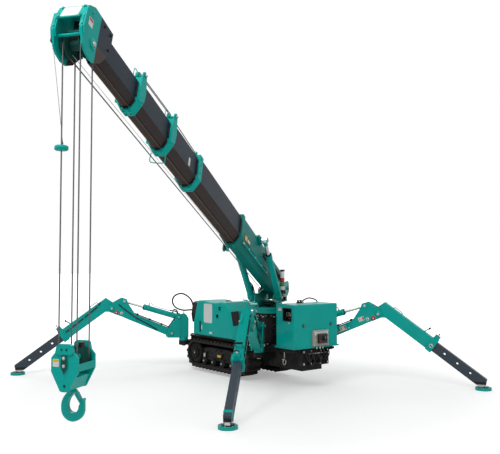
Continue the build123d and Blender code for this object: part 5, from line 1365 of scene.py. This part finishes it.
    # outer box: hose in clips, round latch, grip, pull pin with its handle, small loop on top
    top = OUTER_RISE + 0.069
    outers.use("hose").run(outer, [(0.070, 0.146, -0.0495), (0.085, 0.140, -0.0530), (0.17, 0.122, -0.0530),
        (0.36, 0.110, -0.0530), (0.59, 0.100, -0.0530), (0.61, 0.098, -0.0495)], 0.0068, 10, 6)
    for x, y in ((0.12, 0.132), (0.34, 0.111), (0.56, 0.101)):
        outers.use("teal").box(outer, (x - 0.008, x + 0.008), (y - 0.013, y + 0.013),
            (-0.0620, -0.0462), 0.002)
    outers.use("plate").lathe(outer.at(OUTER_TO - 0.035, OUTER_RISE - 0.010, 0.0552),
        outer.z, [(0.0, 0.0), (0.022, 0.0), (0.019, 0.004), (0.0, 0.004)], 24)
    outers.use("black").box(outer, (OUTER_TO - 0.050, OUTER_TO - 0.020),
        (OUTER_RISE - 0.016, OUTER_RISE - 0.004), (0.0590, 0.0610), 0.001)
    outers.use("black").lathe(outer.at(OUTER_TO - 0.156, top + 0.062, -0.034), outer.z, [
        (0.0, -0.006), (0.010, -0.004), (0.0105, 0.068), (0.010, 0.072), (0.0, 0.074)], 18)
    outers.use("zinc").lathe(outer.at(OUTER_TO - 0.036, top + 0.046), outer.y, [
        (0.012, -0.001), (0.012, 0.014), (0.007, 0.018), (0.007, 0.030), (0.0, 0.030)], 16)
    outers.use("black").run(outer, [
        (OUTER_TO - 0.036, top + 0.074, -0.026), (OUTER_TO - 0.036, top + 0.082),
        (OUTER_TO - 0.036, top + 0.074, 0.026)], 0.006, 10, 6)
    outers.use("teal").run(outer, [(0.10, top - 0.001, 0.020), (0.11, top + 0.020, 0.020),
        (0.20, top + 0.020, 0.020), (0.21, top - 0.001, 0.020)], 0.005, 8, 5)
    outers.done(f"{name}_outer")
    spots = [(outer.at(OUTER_TO - along, OUTER_RISE + y, out * (OUTER_HALF + 0.009)),
        outer.z * out) for out in (-1, 1) for along in (0.018, 0.052) for y in (-0.045, 0.045)]
    spots += [(outer.at(OUTER_TO - along, OUTER_RISE - 0.078, 0), -outer.y) for along in (0.018, 0.052)]
    spots += [(outer.at(OUTER_TO - along, top + 0.046, z), outer.y)
        for along in (0.014, 0.058) for z in (-0.017, 0.017)]
    bolts(f"{name}_collar_bolts", f"{name}_outer", spots, sizes().bolt * 0.8, 0.006, "teal")
    # stay: teal band on the near left one, washer and rim of the foot pad, caps of the ankle pin
    if name == "near_left":
        for low, high in ((-0.0375, -0.0352), (0.0352, 0.0375)):
            stay.use("teal").box(outer, (1.272, 1.300),
                (OUTER_RISE - 0.0585, OUTER_RISE + 0.0585), (low, high), 0.0005)
        for low, high in ((-0.0585, -0.0562), (0.0562, 0.0585)):
            stay.box(outer, (1.272, 1.300), (OUTER_RISE + low, OUTER_RISE + high),
                (-0.0375, 0.0375), 0.0005)
    ankle = outer.at(STAY_TO - 0.010, OUTER_RISE)
    foot = Vector((ankle.x, ankle.y, 0))
    stay.use("black").lathe(foot + UP * 0.026, UP, cap(0.058, 0.0, 0.004, 0.048, 0.008), 30)
    stay.use("teal").lathe(foot + UP * 0.026, UP, [
        (0.084, -0.003), (0.084, 0.004), (0.078, 0.006), (0.078, -0.001)], 36)
    for way in (leg.z, -leg.z):
        pin_cap(stay, ankle - UP * 0.030 + way * 0.024, way, 0.016, "teal")
    stay.done(f"{name}_stay")
    spots = [(p, UP) for p in ring(Place(foot + UP * 0.026, DECK.x, DECK.y), 0.069, 6, 0.5)]
    bolts(f"{name}_pad_bolts", f"{name}_stay", spots, sizes().bolt * 0.8, 0.006, "zinc")


# ---------------------------------------------------------------- stage
CAMERA_AT = (-5.203, -6.199)                           # from the slewing axis
CAMERA_TURN = (math.radians(92.81), 0, math.radians(-38.33))
FLOOR_FADES = (2.2, 6.5)                               # from grey to white, from the slewing axis outward
FLOOR_REACH = 60.0


def make_stage(settings):
    """Pale floor that fades into a white backdrop, soft lamps and the camera."""
    floor = Finish("studio floor")
    seen = floor.node("ShaderNodeLightPath", output="Is Camera Ray")
    faint = floor.noise(0.8, 2.0)
    away = floor.node("ShaderNodeVectorMath", {"operation": "LENGTH"}, {0: floor.place()}, output=1)
    fade = floor.band(away, *FLOOR_FADES)
    glow = floor.mix(fade, (0.34, 0.34, 0.34, 1), (1.0, 1.0, 1.0, 1))
    floor.set(Base_Color=floor.mix(faint, (0.80, 0.80, 0.80, 1), (0.84, 0.84, 0.84, 1)),
        Roughness=faint * 0.1 + 0.8)
    floor.set(Emission_Color=floor.mix(seen, (0, 0, 0, 1), glow), Emission_Strength=1.0)
    data = bpy.data.meshes.new("studio floor")
    corners = [(x * FLOOR_REACH, y * FLOOR_REACH, 0) for x, y in ((-1, -1), (1, -1), (1, 1), (-1, 1))]
    data.from_pydata(corners, [], [(0, 1, 2, 3)])
    data.materials.append(floor.material)
    ground = bpy.data.objects.new("studio_floor", data)
    bpy.context.scene.collection.objects.link(ground)

    world = bpy.data.worlds.new("studio")
    bpy.context.scene.world = world
    world.use_nodes = True
    nodes, links = world.node_tree.nodes, world.node_tree.links
    back = nodes["Background"]
    path = nodes.new("ShaderNodeLightPath")
    shown = path.outputs["Is Camera Ray"]
    for ray in ("Is Glossy Ray", "Is Transmission Ray"):
        either = nodes.new("ShaderNodeMath")
        either.operation, either.use_clamp = "ADD", True
        links.new(shown, either.inputs[0])
        links.new(path.outputs[ray], either.inputs[1])
        shown = either.outputs[0]
    level = nodes.new("ShaderNodeMapRange")
    level.inputs[3].default_value, level.inputs[4].default_value = settings.sky, 1.0
    links.new(shown, level.inputs[0])
    links.new(level.outputs[0], back.inputs["Strength"])
    back.inputs["Color"].default_value = (1, 1, 1, 1)

    for name, spot, size, power in (
            ("key", (-5.5, -3.5, 6.5), 4.0, settings.key), ("fill", (4.5, -7.0, 4.0), 5.0, settings.fill),
            ("rim", (2.0, 6.0, 6.0), 4.0, settings.rim)):
        light = bpy.data.lights.new(name, "AREA")
        light.size, light.energy = size, power
        lamp = bpy.data.objects.new(name, light)
        lamp.location = DECK.at(*spot)
        lamp.rotation_euler = (DECK.at(0, 0, 0.9) - lamp.location).to_track_quat("-Z", "Y").to_euler()
        bpy.context.scene.collection.objects.link(lamp)

    lens = bpy.data.cameras.new("camera")
    lens.lens, lens.sensor_width = settings.lens, 36.0
    camera = bpy.data.objects.new("camera", lens)
    camera.location = DECK.at(*CAMERA_AT, settings.eye)
    camera.rotation_euler = CAMERA_TURN
    lens.clip_end = 200.0
    bpy.context.scene.collection.objects.link(camera)
    bpy.context.scene.camera = camera
    bpy.context.scene.view_settings.view_transform = "Standard"


# ---------------------------------------------------------------- settings, operators and panel
class CraneStage(bpy.types.PropertyGroup):
    key: bpy.props.FloatProperty(name="Key lamp",
        description="Power of the large lamp on the left", default=260, unit="POWER")
    fill: bpy.props.FloatProperty(name="Fill lamp",
        description="Power of the soft front lamp", default=60, unit="POWER")
    rim: bpy.props.FloatProperty(name="Rim lamp",
        description="Power of the lamp behind", default=90, unit="POWER")
    sky: bpy.props.FloatProperty(name="Sky",
        description="Strength of the even white surroundings", default=0.42)
    lens: bpy.props.FloatProperty(name="Lens", description="Focal length", default=48.6, unit="CAMERA")
    eye: bpy.props.FloatProperty(name="Eye height", description="Camera height",
        default=1.402, unit="LENGTH")


class CraneSizes(bpy.types.PropertyGroup):
    bolt: bpy.props.FloatProperty(name="Bolt heads",
        description="Width across flats of the usual bolt head", default=0.018, unit="LENGTH")
    hose: bpy.props.FloatProperty(name="Hoses",
        description="Outside diameter of the usual hose", default=0.016, unit="LENGTH")
    rope: bpy.props.FloatProperty(name="Hoist rope",
        description="Diameter of the hoist rope", default=0.008, unit="LENGTH")
    plate_thick: bpy.props.FloatProperty(name="Plates",
        description="Thickness of the blank plates", default=0.0012, unit="LENGTH")
    weight_height: bpy.props.FloatProperty(name="Switch weight",
        description="Height of the weight of the overwind switch", default=2.0, unit="LENGTH")
    teal: bpy.props.FloatVectorProperty(name="Enamel", description="Colour of the main enamel",
        default=(0.0, 0.400, 0.352, 1.0), size=4, subtype="COLOR")
    slate: bpy.props.FloatVectorProperty(name="Boom enamel",
        description="Colour of the sliding boom sections",
        default=(0.018, 0.030, 0.046, 1.0), size=4, subtype="COLOR")
    stay: bpy.props.FloatVectorProperty(name="Stay enamel", description="Colour of the outriggers' stays",
        default=(0.040, 0.056, 0.076, 1.0), size=4, subtype="COLOR")


class CRANE_OT_stage(bpy.types.Operator):
    """Set the floor, the lamps and the camera"""
    bl_idname = "crane.stage"
    bl_label = "Stage"

    def execute(self, context):
        make_stage(context.scene.crane_stage)
        return {"FINISHED"}


class CRANE_OT_finishes(bpy.types.Operator):
    """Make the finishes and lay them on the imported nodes"""
    bl_idname = "crane.finishes"
    bl_label = "Finishes"

    def execute(self, context):
        finishes()
        for name, node in NODES.items():
            node.data.materials.clear()
            node.data.materials.append(MATERIALS[node_finish(name)])
        return {"FINISHED"}


class CRANE_OT_boom(bpy.types.Operator):
    """Add wear pads, collar bolts, guide pulleys, pipe and plates to the boom"""
    bl_idname = "crane.boom"
    bl_label = "Boom fittings"

    def execute(self, context):
        make_boom_fittings()
        return {"FINISHED"}


class CRANE_OT_ropes(bpy.types.Operator):
    """Run the hoist rope, the signal cable and the telescoping ropes along the boom"""
    bl_idname = "crane.ropes"
    bl_label = "Boom ropes"

    def execute(self, context):
        make_boom_ropes()
        return {"FINISHED"}


class CRANE_OT_head(bpy.types.Operator):
    """Add plates, pin caps, overwind switch and its weight to the boom head"""
    bl_idname = "crane.head"
    bl_label = "Head fittings"

    def execute(self, context):
        make_head()
        return {"FINISHED"}


class CRANE_OT_block(bpy.types.Operator):
    """Add keepers, bolts, plates and the hook's latch"""
    bl_idname = "crane.block"
    bl_label = "Block and hook fittings"

    def execute(self, context):
        make_block()
        return {"FINISHED"}


class CRANE_OT_derrick(bpy.types.Operator):
    """Add glands, ports, pipes and hoses to the derrick rams"""
    bl_idname = "crane.derrick"
    bl_label = "Derrick ram fittings"

    def execute(self, context):
        make_derrick()
        return {"FINISHED"}


class CRANE_OT_post(bpy.types.Operator):
    """Add valves, hoses, drum motor, lamp mounting and bolts to the slewing post"""
    bl_idname = "crane.post"
    bl_label = "Post fittings"

    def execute(self, context):
        make_post()
        return {"FINISHED"}


class CRANE_OT_covers(bpy.types.Operator):
    """Add plates, latches, vents, caps and engine hoses to the covers"""
    bl_idname = "crane.covers"
    bl_label = "Cover fittings"

    def execute(self, context):
        make_covers()
        return {"FINISHED"}


class CRANE_OT_console(bpy.types.Operator):
    """Add gauge window, panel controls, latches, knobs and hoses to the console"""
    bl_idname = "crane.console"
    bl_label = "Console fittings"

    def execute(self, context):
        make_console()
        return {"FINISHED"}


class CRANE_OT_chassis(bpy.types.Operator):
    """Add supply hoses, valves, brackets and bolts to the chassis"""
    bl_idname = "crane.chassis"
    bl_label = "Chassis fittings"

    def execute(self, context):
        make_chassis()
        return {"FINISHED"}


class CRANE_OT_tracks(bpy.types.Operator):
    """Add hub caps, sprocket teeth, roller caps and plates to the crawlers"""
    bl_idname = "crane.tracks"
    bl_label = "Crawler fittings"

    def execute(self, context):
        make_tracks()
        return {"FINISHED"}


class CRANE_OT_legs(bpy.types.Operator):
    """Add pins, glands, hoses, plates, bolts and pads to the four outriggers"""
    bl_idname = "crane.legs"
    bl_label = "Outrigger fittings"

    def execute(self, context):
        for name in LEG_NAMES:
            make_leg(name)
        return {"FINISHED"}


class CRANE_PT_panel(bpy.types.Panel):
    """Operators of the crane in the sidebar"""
    bl_idname = "CRANE_PT_panel"
    bl_label = "Crane"
    bl_space_type = "VIEW_3D"
    bl_region_type = "UI"
    bl_category = "Crane"

    def draw(self, context):
        for operator in OPERATORS:
            self.layout.operator(operator.bl_idname)
        for group in (context.scene.crane_stage, context.scene.crane_sizes):
            for key in type(group).__annotations__:
                self.layout.prop(group, key)


OPERATORS = (CRANE_OT_stage, CRANE_OT_finishes, CRANE_OT_boom, CRANE_OT_ropes,
    CRANE_OT_head, CRANE_OT_block, CRANE_OT_derrick, CRANE_OT_post, CRANE_OT_covers,
    CRANE_OT_console, CRANE_OT_chassis, CRANE_OT_tracks, CRANE_OT_legs)
CLASSES = (CraneStage, CraneSizes, *OPERATORS, CRANE_PT_panel)


def register():
    for made in CLASSES:
        bpy.utils.register_class(made)
    bpy.types.Scene.crane_stage = bpy.props.PointerProperty(type=CraneStage)
    bpy.types.Scene.crane_sizes = bpy.props.PointerProperty(type=CraneSizes)


def unregister():
    del bpy.types.Scene.crane_sizes
    del bpy.types.Scene.crane_stage
    for made in reversed(CLASSES):
        bpy.utils.unregister_class(made)


def main():
    register()
    for operator in OPERATORS:
        category, name = operator.bl_idname.split(".")
        getattr(getattr(bpy.ops, category), name)()


if __name__ == "__main__":
    main()
